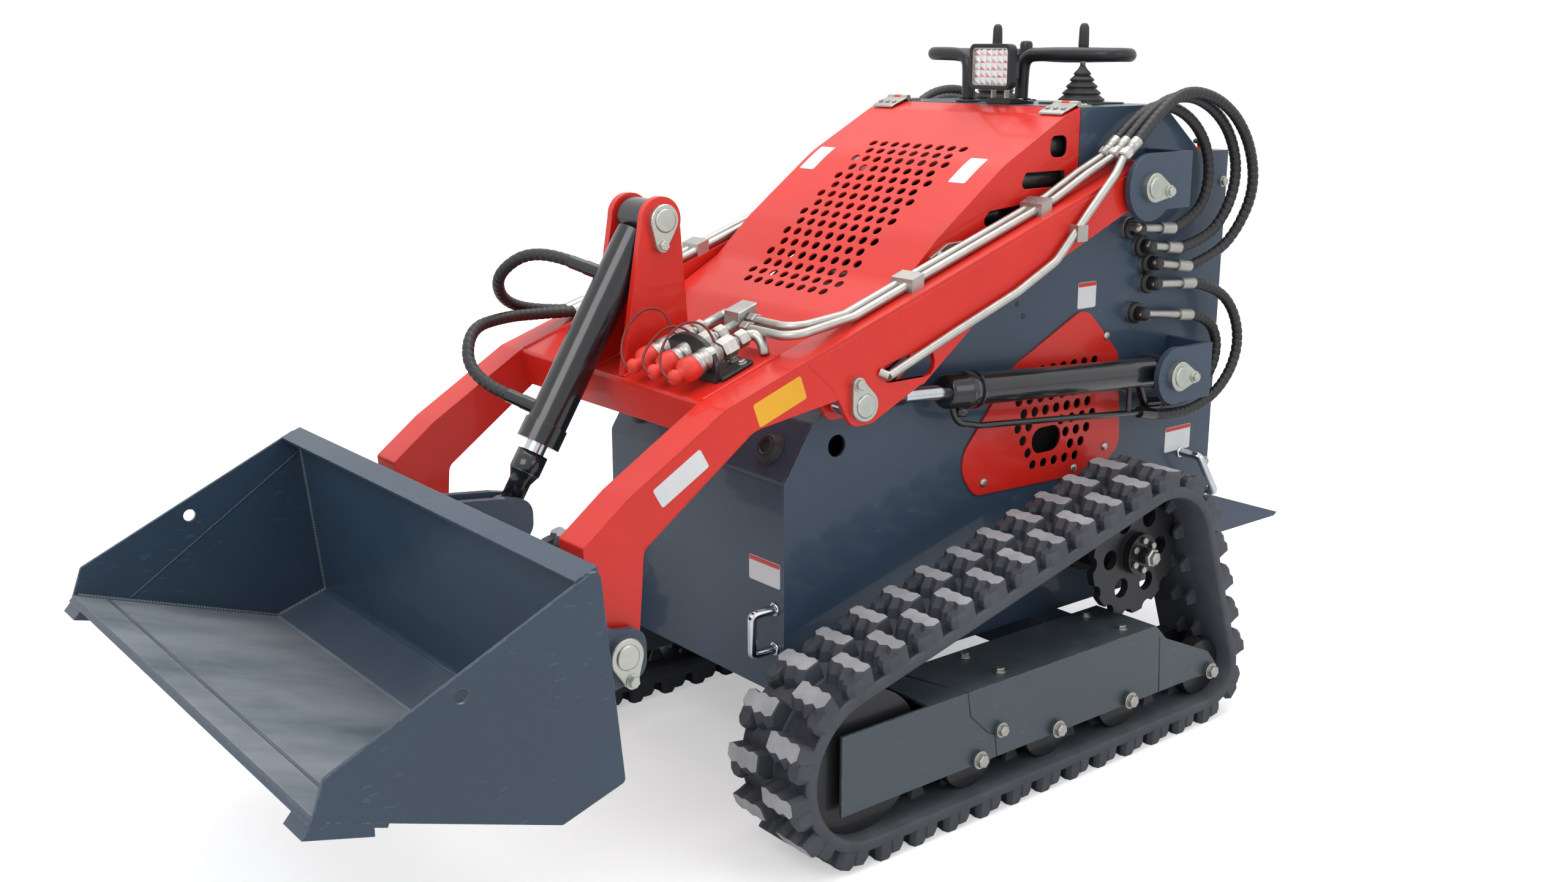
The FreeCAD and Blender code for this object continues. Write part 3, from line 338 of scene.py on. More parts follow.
RED = (0.70, 0.020, 0.011)
SLATE = (0.037, 0.064, 0.106)
BLACK = (0.012, 0.013, 0.016)
PAINTS = {
    # colour, roughness, coat, colour under the paint, wear, dust (on the rails, painted top light), scuffs,
    # edge, grain, its colour
    "red_paint": (RED, 0.33, 0.22, (0.55, 0.20, 0.15), 0.55, 0.04, 0.10),
    "slate_paint": (SLATE, 0.40, 0.25, (0.24, 0.27, 0.30), 0.75, 0.14, 0.22),
    "bucket_paint": ((0.031, 0.056, 0.092), 0.36, 0.25, (0.26, 0.29, 0.32), 0.8, 0.0, 0.30),
    # Painted light: the rails' dust colour is a pale slate grey on faces that look up, for the light on the
    # rail tops.
    "rail_paint": ((0.055, 0.073, 0.086), 0.44, 0.2, (0.24, 0.27, 0.30), 0.75, 0.40, 0.22, 0.0025, 70.0,
                   (0.150, 0.165, 0.175)),
    "black_paint": (BLACK, 0.38, 0.15, (0.10, 0.10, 0.11), 0.5, 0.10, 0.12),
    "cylinder_black": ((0.010, 0.012, 0.015), 0.24, 0.6, (0.08, 0.08, 0.09), 0.4, 0.03, 0.06),
    "cast_iron": ((0.030, 0.031, 0.033), 0.62, 0.0, (0.12, 0.10, 0.09), 0.7, 0.30, 0.1, 0.0025, 240.0),
    "sticker_white": ((0.74, 0.75, 0.77), 0.35, 0.3, (0.6, 0.6, 0.6), 0.2, 0.03, 0.05),
    "sticker_yellow": ((0.86, 0.42, 0.01), 0.35, 0.3, (0.7, 0.6, 0.4), 0.2, 0.03, 0.05),
    "sticker_red": ((0.62, 0.02, 0.02), 0.35, 0.3, (0.6, 0.4, 0.4), 0.2, 0.03, 0.05),
    "weld": ((0.075, 0.098, 0.122), 0.42, 0.2, (0.34, 0.37, 0.40), 0.9, 0.2, 0.2, 0.0015),
}
FINISH = {name: paint(name, *values) for name, values in PAINTS.items()}


def paint_facing_sheen(material, pale_scuffs_and_sheen, way, low, high):
    """Painted sheen: a paler colour, broken into streaks, on the faces of a piece that look one way."""
    tree = material.node_tree
    shader = tree.nodes["Principled BSDF"]
    under = shader.inputs["Base Color"].links[0].from_socket
    own = add_node(tree, "TexCoord")
    facing = facing_share(tree, own.outputs["Normal"], Vector(way).normalized())
    streaks = between(tree, noise(tree, 5.0, 8, 0.65, (1.0, 0.35, 1.0)), 0.05, 0.75)
    mask = maths(tree, "MULTIPLY", between(tree, facing, low, high), streaks, clamp=True)
    tree.links.new(mixed(tree, mask, under, pale_scuffs_and_sheen), shader.inputs["Base Color"])


# Painted sheen: the bucket's floor, which looks up and back, is painted paler for the overhead light it
# catches.
paint_facing_sheen(FINISH["bucket_paint"], (0.285, 0.315, 0.340), (0, 0.35, 0.94), 0.72, 0.97)


def rubber(name, colour, roughness, grain, dust_and_top_light_amount):
    """Moulded rubber with a fine grain and dry dust."""
    material, tree, shader = new_material(name, colour, roughness)
    cloudy = between(tree, noise(tree, 9.0, 8, 0.7), 0.35, 0.75)
    dust_and_top_light_node = use_group(tree, dust_and_top_light, Amount=dust_and_top_light_amount, Scale=11.0)
    base = mixed(tree, cloudy, colour, tuple(c * 1.6 + 0.004 for c in colour))
    base = mixed(tree, dust_and_top_light_node.outputs["Mask"], base, (0.20, 0.185, 0.165))
    tree.links.new(base, shader.inputs["Base Color"])
    soft = use_group(tree, worn_edge, Width=0.002, Breakup=60.0, Amount=0.0)
    bumped(tree, shader, noise(tree, grain, 6, 0.7), 0.0006, 0.5, Normal=soft.outputs["Normal"])
    return material


RUBBERS = {
    # colour, roughness, grain, dust
    "track_rubber": ((0.036, 0.041, 0.052), 0.58, 260.0, 0.12),
    "track_worn": ((0.300, 0.305, 0.320), 0.55, 180.0, 0.10),
    "black_rubber": ((0.012, 0.012, 0.013), 0.50, 500.0, 0.08),
    "hose": ((0.010, 0.010, 0.012), 0.42, 700.0, 0.10),
    "red_rubber": ((0.62, 0.030, 0.018), 0.42, 600.0, 0.05),
    "leash_red": ((0.150, 0.010, 0.009), 0.45, 600.0, 0.05),
}
FINISH.update({name: rubber(name, *values) for name, values in RUBBERS.items()})


def metal(name, colour, roughness, streaks, stretch):
    """Bare or plated metal; streaks run where the noise is stretched."""
    material, tree, shader = new_material(name, colour, roughness, metallic=1.0)
    grain = noise(tree, streaks, 5, 0.6, stretch)
    blotch = between(tree, noise(tree, 20.0, 6, 0.65), 0.3, 0.75)
    tree.links.new(mixed(tree, blotch, tuple(c * 0.82 for c in colour), colour), shader.inputs["Base Color"])
    tree.links.new(maths(tree, "MULTIPLY_ADD", grain, roughness, roughness * 0.6), shader.inputs["Roughness"])
    bumped(tree, shader, grain, 0.0002, 0.25)
    return material


METALS = {
    # colour, roughness, streaks, how they stretch
    "zinc": ((0.50, 0.49, 0.46), 0.40, 260.0, (1, 1, 1)),
    "chrome": ((0.66, 0.70, 0.75), 0.10, 500.0, (1, 6, 6)),
    "reflector": ((0.80, 0.81, 0.82), 0.30, 90.0, (1, 1, 1)),
    "pin_zinc": ((0.56, 0.58, 0.53), 0.34, 340.0, (1, 1, 1)),
}
FINISH.update({name: metal(name, *values) for name, values in METALS.items()})
print("materials", sorted(FINISH))

# %% [markdown]
# A material goes on every CAD node by the slot that the record gives it. The imported meshes already
# carry one material named for their slot, so the finish is swapped there and the shape stays as it is.
# Most pieces added after this are made by one helper, which also says which body each rides; the hoses ride
# none.

# %% Dress the CAD nodes
OWN_FINISH = {"bucket": "bucket_paint", "cutting_edge": "bucket_paint",
              "track_frame_left": "rail_paint", "track_frame_right": "rail_paint"}
for name, node in NODES.items():
    if not node.data.materials:
        node.data.materials.append(None)
    for i, old in enumerate(node.data.materials):
        slot_name = old.name.split(".")[0] if old else "slate_paint"
        node.data.materials[i] = FINISH.get(OWN_FINISH.get(name, slot_name), FINISH["slate_paint"])
print("dressed", len(NODES), "nodes")


def fitted(name, mesh_code, finishes, body, replaced=None):
    """A new mesh piece that rides one body and may stand in for a CAD node."""
    piece = mesh_piece(name, mesh_code, [FINISH[finish] for finish in finishes])
    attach(piece, body)
    if replaced:
        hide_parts(replaced)
    print(name, len(piece.data.polygons), "faces on", body)
    return piece

# %% [markdown]
# The hoses wear a spiral guard: a flat plastic strip wound round them. Its ridge is part of the mesh, a
# radius that steps up and down with the distance along the hose plus the angle round it.

# %% Hoses
ARM_LOOPS = [
    [(985, 996), (1055, 1012), (1098, 1070), (1092, 1145), (1038, 1208), (955, 1242), (870, 1232),
     (800, 1178)],
    [(1008, 955), (1085, 966), (1142, 1020), (1160, 1100), (1128, 1180), (1060, 1236), (970, 1262),
     (872, 1240), (800, 1178)],
    [(1045, 914), (1115, 934), (1165, 990), (1185, 1068), (1165, 1150), (1110, 1216), (1030, 1258),
     (938, 1270), (862, 1232), (800, 1178)],
]
LANES = (297, 322, 347)
ROUTES = {}
for i, loop in enumerate(ARM_LOOPS):
    points = [(300 + (LANES[i] - 300) * min(1, k / 3), y, z) for k, (y, z) in enumerate(loop)]
    ROUTES["hose_arm_left_%d" % (i + 1)] = (points, "arms")
ROUTES["hose_lift_left_1"] = ([
    (300, 1062, 878), (308, 1125, 866), (320, 1178, 820), (330, 1195, 748), (333, 1166, 680),
    (333, 1100, 632), (328, 1015, 612), (320, 932, 622)], "lift_barrel_left")
ROUTES["hose_lift_left_2"] = ([
    (300, 1060, 812), (302, 1116, 800), (303, 1156, 752), (303, 1148, 692), (302, 1100, 648),
    (301, 1030, 630), (300, 965, 638)], "lift_barrel_left")
for name in ("hose_arm_left_1", "hose_arm_left_2", "hose_lift_left_1", "hose_lift_left_2"):
    points, body = ROUTES[name]
    mirrored = [(-x, y, z) for x, y, z in points]
    ROUTES[name.replace("left", "right")] = (mirrored, body.replace("left", "right"))
ROUTES["hose_tilt_1"] = ([
    (-297, -62, 859.0), (-296, -132, 862), (-268, -225, 870), (-235, -320, 862), (-167, -358, 789),
    (-85.6, -325.9, 767.4)], "tilt_barrel")
ROUTES["hose_tilt_2"] = ([
    (-322, -62, 859.0), (-322, -142, 866), (-285, -225, 900), (-225, -262, 960), (-158, -219, 1006.6),
    (-85.6, -190.2, 987.4)], "tilt_barrel")
WRAP_PITCH = 0.014
WRAP_DEPTH = 0.0013


def wrapped_hose(bm, line):
    """Tube with a spiral ridge: the strip covers 70% of each turn."""
    sides = 20
    rings = sweep(bm, line, lambda run: HOSE_RADIUS, sides)
    run = 0.0
    for i, ring in enumerate(rings):
        if i:
            run += (line[i] - line[i - 1]).length
        for k, vertex in enumerate(ring):
            turn = (run / WRAP_PITCH + k / sides) % 1.0
            sink = WRAP_DEPTH * max(0.0, min(1.0, (turn - 0.66) / 0.1, (1.0 - turn) / 0.1))
            vertex.co += (line[i] - vertex.co).normalized() * sink


for name, (points, body) in ROUTES.items():
    control = row(points)
    line = smooth_line(control)
    fine_line = smooth_line(control, 40)
    hose = mesh_piece(name + "_wrap", lambda bm: wrapped_hose(bm, fine_line), [FINISH["hose"]])
    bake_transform(hose)
    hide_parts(name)
print("hoses", len(ROUTES))

# %% [markdown]
# The rubber tracks are the roughest part of the machine, and a smooth band never looks like one. The real
# track is a belt with two staggered rows of moulded lugs outside and pairs of guide lugs inside. One lug
# is drawn flat, as a scalloped outline, and is then set down link by link along the belt's own path, so
# it bends round the wheels as the rubber does. The tops get a paler, rubbed finish.

# %% Track path
TRACK_WHEELS = [(14, 181, 150), (945, 111, 80), (774, 382, 150)]
LUG_HEIGHT = 31
LINKS = 35
X_IN, X_MID, X_OUT = 320, 410, 500


def loop_pieces(wheels):
    """Arcs and straight runs of a belt round circles (y, z, r), anticlockwise seen from the left."""
    sides = []
    for (y0, z0, r0), (y1, z1, r1) in zip(wheels, wheels[1:] + wheels[:1]):
        lean = math.acos((r0 - r1) / math.hypot(y1 - y0, z1 - z0))
        sides.append(math.atan2(z1 - z0, y1 - y0) - lean)
    pieces = []
    for i, (y, z, r) in enumerate(wheels):
        turn = (sides[i] - sides[i - 1]) % (2 * math.pi)
        pieces.append((turn * r, y, z, r, sides[i - 1], turn))
        y1, z1, r1 = wheels[(i + 1) % len(wheels)]
        c, s = math.cos(sides[i]), math.sin(sides[i])
        run = math.hypot(y1 + r1 * c - y - r * c, z1 + r1 * s - z - r * s)
        pieces.append((run, y + r * c, z + r * s, 0, sides[i], 0))
    return pieces


PATH = loop_pieces(TRACK_WHEELS)
PATH_LENGTH = sum(piece[0] for piece in PATH)
LINK = PATH_LENGTH / LINKS


def on_loop(distance, rise, x):
    """Point of the track: distance along its outside, height above it, and place across."""
    distance %= PATH_LENGTH
    for length, y, z, r, angle, turn in PATH:
        if distance <= length:
            break
        distance -= length
    if turn:
        angle += turn * distance / length
        y, z = y + r * math.cos(angle), z + r * math.sin(angle)
    else:
        y, z = y - distance * math.sin(angle), z + distance * math.cos(angle)
    return at(x, y + rise * math.cos(angle), z + rise * math.sin(angle))


print("track", round(PATH_LENGTH), "mm round,", round(LINK, 1), "mm a link")

# %% Tracks
LUG = [(0, 4), (-5, 17), (2, 31), (-3, 46), (4, 61), (-1, 76), (6, 87), (36, 88), (50, 76), (42, 61),
       (54, 47), (44, 33), (50, 18), (42, 4)]
CAP = [(26, 58), (50, 58), (62, 68), (61, 82), (50, 90), (28, 90)]
LUG_LEVELS = ((-4, 1.04, 1.02, 0), (LUG_HEIGHT * 0.5, 0.86, 0.98, -3), (LUG_HEIGHT - 3, 0.62, 0.96, -8),
              (LUG_HEIGHT, 0.55, 0.93, -9))
CAP_LEVELS = ((-4, 1.0, 1.0, 0), (LUG_HEIGHT * 0.45, 0.95, 0.95, -1), (LUG_HEIGHT * 0.72, 0.75, 0.8, -3))
BELT_EDGE = [(X_IN, -4), (X_IN, -18), (X_IN + 3, -22), (X_OUT - 3, -22), (X_OUT, -18), (X_OUT, -4),
             (X_OUT - 4, 0), (X_OUT - 7, 0), (X_OUT - 9, -3), (X_MID + 4, -3), (X_MID, -6), (X_MID - 4, -3),
             (X_IN + 9, -3), (X_IN + 7, 0), (X_IN + 4, 0)]
BELT_STEPS = 200
GUIDE_LUGS = ((386, 397), (423, 434))


def studs(bm, outline, start, mirror, levels, side, top_slot):
    """One lug: its outline at each level (rise, share along, share across, shift), closed on top."""
    middle_u = sum(u for u, v in outline) / len(outline)
    middle_v = sum(v for u, v in outline) / len(outline)
    rings = []
    for rise, along, across, shift in levels:
        spots = [(middle_u + (u - middle_u) * along + shift, middle_v + (v - middle_v) * across)
                 for u, v in outline]
        rings.append([bm.verts.new(on_loop(start + u, rise, side * (X_MID + mirror * v))) for u, v in spots])
    skin(bm, rings)
    bm.faces.new(rings[-1]).material_index = top_slot


def track_mesh(bm, side):
    belt = [[bm.verts.new(on_loop(PATH_LENGTH * k / BELT_STEPS, rise, side * x)) for x, rise in BELT_EDGE]
            for k in range(BELT_STEPS)]
    skin(bm, belt + belt[:1], smooth=True)
    for i in range(LINKS):
        for phase, mirror in ((0.0, -1), (0.5, 1)):
            start = (i + phase) * LINK
            studs(bm, LUG, start, mirror, LUG_LEVELS, side, 1)
            studs(bm, CAP, start, mirror, CAP_LEVELS, side, 0)
        for low, high in GUIDE_LUGS:
            foot = [(8, low), (8, high), (44, high), (44, low)]
            tip = [(17, low + 3), (17, high - 2), (35, high - 2), (35, low + 3)]
            rings = [[bm.verts.new(on_loop(i * LINK + u, rise, side * v)) for u, v in outline]
                     for outline, rise in ((foot, -21), (tip, -45))]
            skin(bm, rings, last=True)


for side, label in SIDE_NAMES:
    fitted("track_tread_" + label, lambda bm: track_mesh(bm, side), ["track_rubber", "track_worn"],
           "chassis", "track_" + label)

# %% [markdown]
# Small hardware is turned or cut, so three helpers make nearly all of it: a turned shape from a profile,
# a plate cut from a side-view outline with its edges broken, and a bolt, which is both in one. The tear
# drop is the keeper plate that stops a pin from turning: a big circle, a small one and two tangents.

# %% Helpers for turned and cut steel
UP = (0, 0, 1)


def turned(bm, centre, axis, profile, sides=24, slot=0, smooth=True):
    """Turned shape; the profile is (mm along the axis, radius in mm)."""
    axis = Vector(axis).normalized()
    across = axis.orthogonal().normalized()
    other = axis.cross(across)
    rings = []
    for along, radius in profile:
        ring = []
        for k in range(sides):
            angle = 2 * math.pi * k / sides
            spoke = across * math.cos(angle) + other * math.sin(angle)
            ring.append(bm.verts.new(centre + (axis * along + spoke * radius) / 1000))
        rings.append(ring)
    skin(bm, rings, slot, smooth, True, True)


def inset(outline, distance):
    """Outline of (a, b) points moved inwards by a distance."""
    ring = [Vector(p) for p in outline]
    area = sum(a.cross(b) for a, b in zip(ring, ring[1:] + ring[:1]))
    way = 1 if area > 0 else -1
    moved = []
    for i, corner in enumerate(ring):
        before = (corner - ring[i - 1]).normalized()
        after = (ring[(i + 1) % len(ring)] - corner).normalized()
        left = Vector((-before.y - after.y, before.x + after.x)).normalized() * way
        square = Vector((-before.y, before.x)) * way
        moved.append(tuple(corner + left * distance / max(0.5, left.dot(square))))
    return moved


def cut_plate(bm, outline, x0, x1, edge=1.0, slot=0):
    """Plate from a (y, z) outline between x0 and x1; the edge at x1 is broken."""
    steps = ((x0, outline), (x1 - math.copysign(edge, x1 - x0), outline), (x1, inset(outline, edge)))
    skin(bm, [[bm.verts.new(at(x, y, z)) for y, z in points] for x, points in steps], slot, False, True, True)


def bolt(bm, centre, axis, radius, height=None, slot=0, washer=True):
    """Hexagon head on a washer; radius is across the head's corners."""
    if washer:
        turned(bm, centre, axis, [(0, radius * 1.3), (1.4, radius * 1.3), (1.8, radius * 1.24)], 24, slot)
    height = height or radius * 0.75
    head = [(1.5, radius), (1.5 + height * 0.8, radius), (1.5 + height, radius * 0.86)]
    turned(bm, centre, axis, head, 6, slot, smooth=False)


def teardrop(centre, angle, big, small, reach):
    """Outline round a big circle and a small one that lies at an angle from it."""
    lean = math.acos((big - small) / reach)
    y, z = centre
    tip = (y + reach * math.cos(angle), z + reach * math.sin(angle))
    points = []
    for k in range(19):
        a = angle + lean + (2 * math.pi - 2 * lean) * k / 18
        points.append((y + big * math.cos(a), z + big * math.sin(a)))
    for k in range(9):
        a = angle - lean + 2 * lean * k / 8
        points.append((tip[0] + small * math.cos(a), tip[1] + small * math.sin(a)))
    return points, tip

# %% [markdown]
# Each pin of the loader ends in a zinc keeper plate over its head, with one bolt at the narrow end. The
# plates ride with whatever holds the pin: the pivots on the body, the cylinder and bucket pins on the arms.

# %% Pin keeper plates
PIN_PLATES = {
    "chassis": [((815, 1092), 375, -12, 28), ((930, 711), 375, -8, 30)],
    "arms": [((100, 767), 355, 112, 28), ((-94, 1065), 54, -98, 28), ((-400, 450), 376, -80, 30)],
}


def keeper_plates(bm, places):
    for side in SIDES:
        for centre, x, degrees, big in places:
            outline, tip = teardrop(centre, math.radians(degrees), big, 12, 42)
            cut_plate(bm, outline, side * x, side * (x + 12), 1.5)
            turned(bm, at(side * (x + 12), *centre), (side, 0, 0), [(0, 21), (2.2, 20), (3.2, 18)], 32)
            bolt(bm, at(side * (x + 12), *tip), (side, 0, 0), 9.5, 7)


for body, places in PIN_PLATES.items():
    fitted("pin_keepers_" + body, lambda bm: keeper_plates(bm, places), ["pin_zinc"], body)

# %% [markdown]
# The bolts that can be counted in the photograph are put where it shows them: the roller axles along the
# track frame, the screws of the red side covers and a few along the body's rear edge. They are one mesh,
# because a hundred loose objects would only slow the scene down.

# %% Bolts and screws on the body
SIDE_BOLTS = [(493, 272, 116, 13), (493, 480, 116, 13), (493, 689, 116, 13), (493, 945, 111, 13),
              (493, 325, 159, 11), (270, 1184, 1077, 9), (270, 1184, 767, 9), (270, 1184, 470, 9)]
COVER_SCREWS = [(274, 827, 790), (274, 838, 560), (274, 745, 530), (274, 486, 545), (274, 560, 728)]
TOP_BOLTS = [(362, 357), (452, 357), (362, 700), (452, 700)]
HINGE_SCREWS = [(x, y) for x in (215, 255) for y in (742, 753)]


def body_bolts(bm):
    for side in SIDES:
        for x, y, z, radius in SIDE_BOLTS:
            bolt(bm, at(side * x, y, z), (side, 0, 0), radius)
        for x, y in TOP_BOLTS:
            bolt(bm, at(side * x, y, 250), UP, 9)
        for x, y, z in COVER_SCREWS:
            turned(bm, at(side * x, y, z), (side, 0, 0), [(0, 9), (1.2, 9), (3.4, 6.5), (4.2, 3)], 20)
        for x, y in HINGE_SCREWS:
            turned(bm, at(side * x, y, 1244), UP, [(0, 5), (1.0, 4.6), (2.2, 2.5)], 16)


fitted("body_bolts", body_bolts, ["zinc"], "chassis")

# %% [markdown]
# The driver stands behind the body and holds on to two bent tubes, with one lever inside each loop. A
# bent tube is a sweep along a line whose corners are rounded; the spline that shaped the hoses does that
# too. The rubber gaiters under the levers are turned from a saw-toothed profile.

# %% Handlebars and levers
NEAR_BAR = [(46, 800, 1240), (46, 800, 1288), (50, 802, 1334), (96, 812, 1337), (185, 836, 1337),
            (228, 850, 1336), (236, 880, 1336), (228, 920, 1335), (180, 930, 1335), (100, 922, 1333),
            (62, 908, 1333), (56, 878, 1334), (56, 848, 1336), (56, 818, 1336)]
FAR_BAR = [(-69, 765, 1240), (-69, 765, 1290), (-74, 767, 1331), (-112, 770, 1337), (-184, 776, 1337),
           (-199, 792, 1337), (-199, 822, 1336), (-182, 842, 1335), (-110, 856, 1334), (-40, 860, 1334),
           (0, 860, 1334)]
LEVERS = [(138, 877), (-98, 877)]
DECK_TOP = 1240


def bent_tubes(bm):
    for points in (NEAR_BAR, FAR_BAR):
        sweep(bm, smooth_line(row(points), 8), lambda run: 0.0135, 18)
        turned(bm, at(*points[0]), UP, [(0, 26), (4, 26), (5, 24)])
        for x in (18, -18):
            bolt(bm, at(points[0][0] + x, points[0][1], DECK_TOP + 5), UP, 5.5, 4, washer=False)
    turned(bm, at(0, 860, 1318), UP, [(0, 11), (2, 13), (38, 13), (43, 11), (45, 6)], 20)


fitted("handlebar_tubes", bent_tubes, ["black_paint"], "chassis", "handlebars")


def lever_set(bm):
    for x, y in LEVERS:
        profile = [(0, 50), (3, 50), (4, 47)]
        for rise, wide, narrow in ((5, 47, 35), (18, 39, 28), (31, 32, 21), (44, 25, 15), (56, 18, 9)):
            profile += [(rise, wide - 3), (rise + 2, wide), (rise + 5, wide - 2), (rise + 12, narrow)]
        turned(bm, at(x, y, DECK_TOP), UP, profile + [(72, 7), (74, 5)], 36)
        turned(bm, at(x, y, DECK_TOP + 70), UP, [(0, 5.5), (32, 5.5)], 16, 1)
        grip = [(0, 8), (3, 10), (20, 10.5), (38, 10), (50, 9.5), (56, 7.5), (59, 4)]
        turned(bm, at(x, y, DECK_TOP + 98), UP, grip)


fitted("levers_and_gaiters", lever_set, ["black_rubber", "zinc"], "chassis", "control_levers")

# %% [markdown]
# The work light is a black housing round a bright reflector. What reads as a lamp is the broken sparkle
# of its facets, so the reflector is a grid of shallow pyramids behind a frame, and not a flat pane.

# %% Work light
LAMP_X = (-5, 105)
LAMP_Z = (1270, 1356)


def rounded(a0, a1, b0, b1, radius, steps=5):
    """Rounded rectangle outline."""
    points = []
    for ca, cb, first in ((a1 - radius, b1 - radius, 0), (a0 + radius, b1 - radius, 1),
                          (a0 + radius, b0 + radius, 2), (a1 - radius, b0 + radius, 3)):
        for k in range(steps + 1):
            angle = math.pi / 2 * (first + k / steps)
            points.append((ca + radius * math.cos(angle), cb + radius * math.sin(angle)))
    return points


def frame_ring(bm, outer, inner, y0, y1, slot):
    """Ring between two outlines, from y0 forward to y1."""
    steps = ((y0, outer), (y1 + 1, outer), (y1, inset(outer, 1.2)), (y1, inner), (y0, inner))
    skin(bm, [[bm.verts.new(at(a, y, b)) for a, b in line] for y, line in steps], slot)


def loft_box(bm, rings, slot):
    """Skin through rounded outlines (y, x0, x1, z0, z1, radius), closed at the last."""
    made = [[bm.verts.new(at(a, y, b)) for a, b in rounded(*box, radius)] for y, *box, radius in rings]
    skin(bm, made, slot, last=True)


def lamp_mesh(bm):
    x0, x1 = LAMP_X
    z0, z1 = LAMP_Z

    def around(out, radius):
        return rounded(x0 - out, x1 + out, z0 - out, z1 + out, radius)

    frame_ring(bm, around(1, 13), around(-6, 8), 714, 700, 0)
    frame_ring(bm, around(-5.5, 8), around(-9, 6), 707, 702, 1)
    housing = ((714, -1, -1, 13), (720, 0, 0, 12), (730, 14, 10, 10), (745, 18, 14, 8))
    loft_box(bm, [(y, x0 + a, x1 - a, z0 + b, z1 - b, radius) for y, a, b, radius in housing], 0)
    wide, tall = 6, 5
    edges_x = [x0 + 8 + (x1 - x0 - 16) * i / wide for i in range(wide + 1)]
    edges_z = [z0 + 8 + (z1 - z0 - 16) * j / tall for j in range(tall + 1)]
    for i, (a0, a1) in enumerate(zip(edges_x, edges_x[1:])):
        for j, (b0, b1) in enumerate(zip(edges_z, edges_z[1:])):
            lean = 3.0 * math.sin(i * 1.7 + j * 2.3)
            tip = bm.verts.new(at((a0 + a1) / 2 + lean, 702.5, (b0 + b1) / 2 - lean))
            ring = [bm.verts.new(at(a, 706, b)) for a, b in ((a0, b0), (a1, b0), (a1, b1), (a0, b1))]
            for k in range(4):
                bm.faces.new((ring[k], ring[(k + 1) % 4], tip)).material_index = 2
    fin = [(732, z0 + 15), (752, z0 + 18), (752, z1 - 18), (732, z1 - 15)]
    for k in range(7):
        x = x0 + 24 + k * (x1 - x0 - 48) / 6
        cut_plate(bm, fin, x - 1.5, x + 1.5, 0.5)
    for x in (30, 66):
        cut_plate(bm, [(728, 1250), (740, 1250), (740, 1290), (728, 1290)], x, x + 4, 0.6, 1)
    for x in (82, 18):
        cut_plate(bm, [(727, 1240.5), (784, 1240.5), (784, 1246), (744, 1252), (727, 1252)], 50, x)
    for x in (30, 70):
        bolt(bm, at(x, 772, 1245), UP, 5.5, 4, 1)


fitted("lamp_body", lamp_mesh, ["black_paint", "zinc", "reflector"], "chassis", "work_light")

# %% [markdown]
# The quick couplers stand in a black bracket on the loader's cross plate. Red rubber caps keep dirt out,
# and each hangs on a thin leash that is moulded with it. Caps and bushings are turned shapes that lean
# with the plate, so one axis serves them all.

# %% Quick couplers
PLATE_REAR = (-186, 800)
PLATE_SLOPE = 58 / 166
COUPLER_AXIS = Vector((0, -1, -PLATE_SLOPE)).normalized()
COUPLERS = (113, 174, 232)


def plate_z(y):
    return PLATE_REAR[1] + (y - PLATE_REAR[0]) * PLATE_SLOPE


def on_plate(x, y, off):
    return at(x, y, plate_z(y) + off)


def slanted_block(bm, x0, x1, y0, y1, low, high, slot):
    """Block that stands on the cross plate, its edges broken."""
    outline = [(y, plate_z(y) + off) for y, off in ((y0, low), (y1, low), (y1, high), (y0, high))]
    for x in (x0, x1):
        cut_plate(bm, inset(outline, 0.01), (x0 + x1) / 2, x, 1.6, slot)


COUPLER_RISE = 37
CAP_PROFILE = [(0, 17), (2, 20), (8, 21), (20, 21), (24, 19.5), (28, 17), (32, 11), (36, 10), (40, 13),
               (46, 13.5), (51, 11), (55, 5)]
BODY_PROFILE = [(0, 13), (2, 17), (10, 17.5), (12, 20), (30, 20), (32, 17.5), (38, 17.5), (40, 19), (50, 19),
                (52, 16)]
NUT_PROFILES = {-76: [(0, 17), (3, 19), (22, 19), (30, 17.5)], -50: [(0, 13), (2, 15), (16, 15), (20, 14)]}


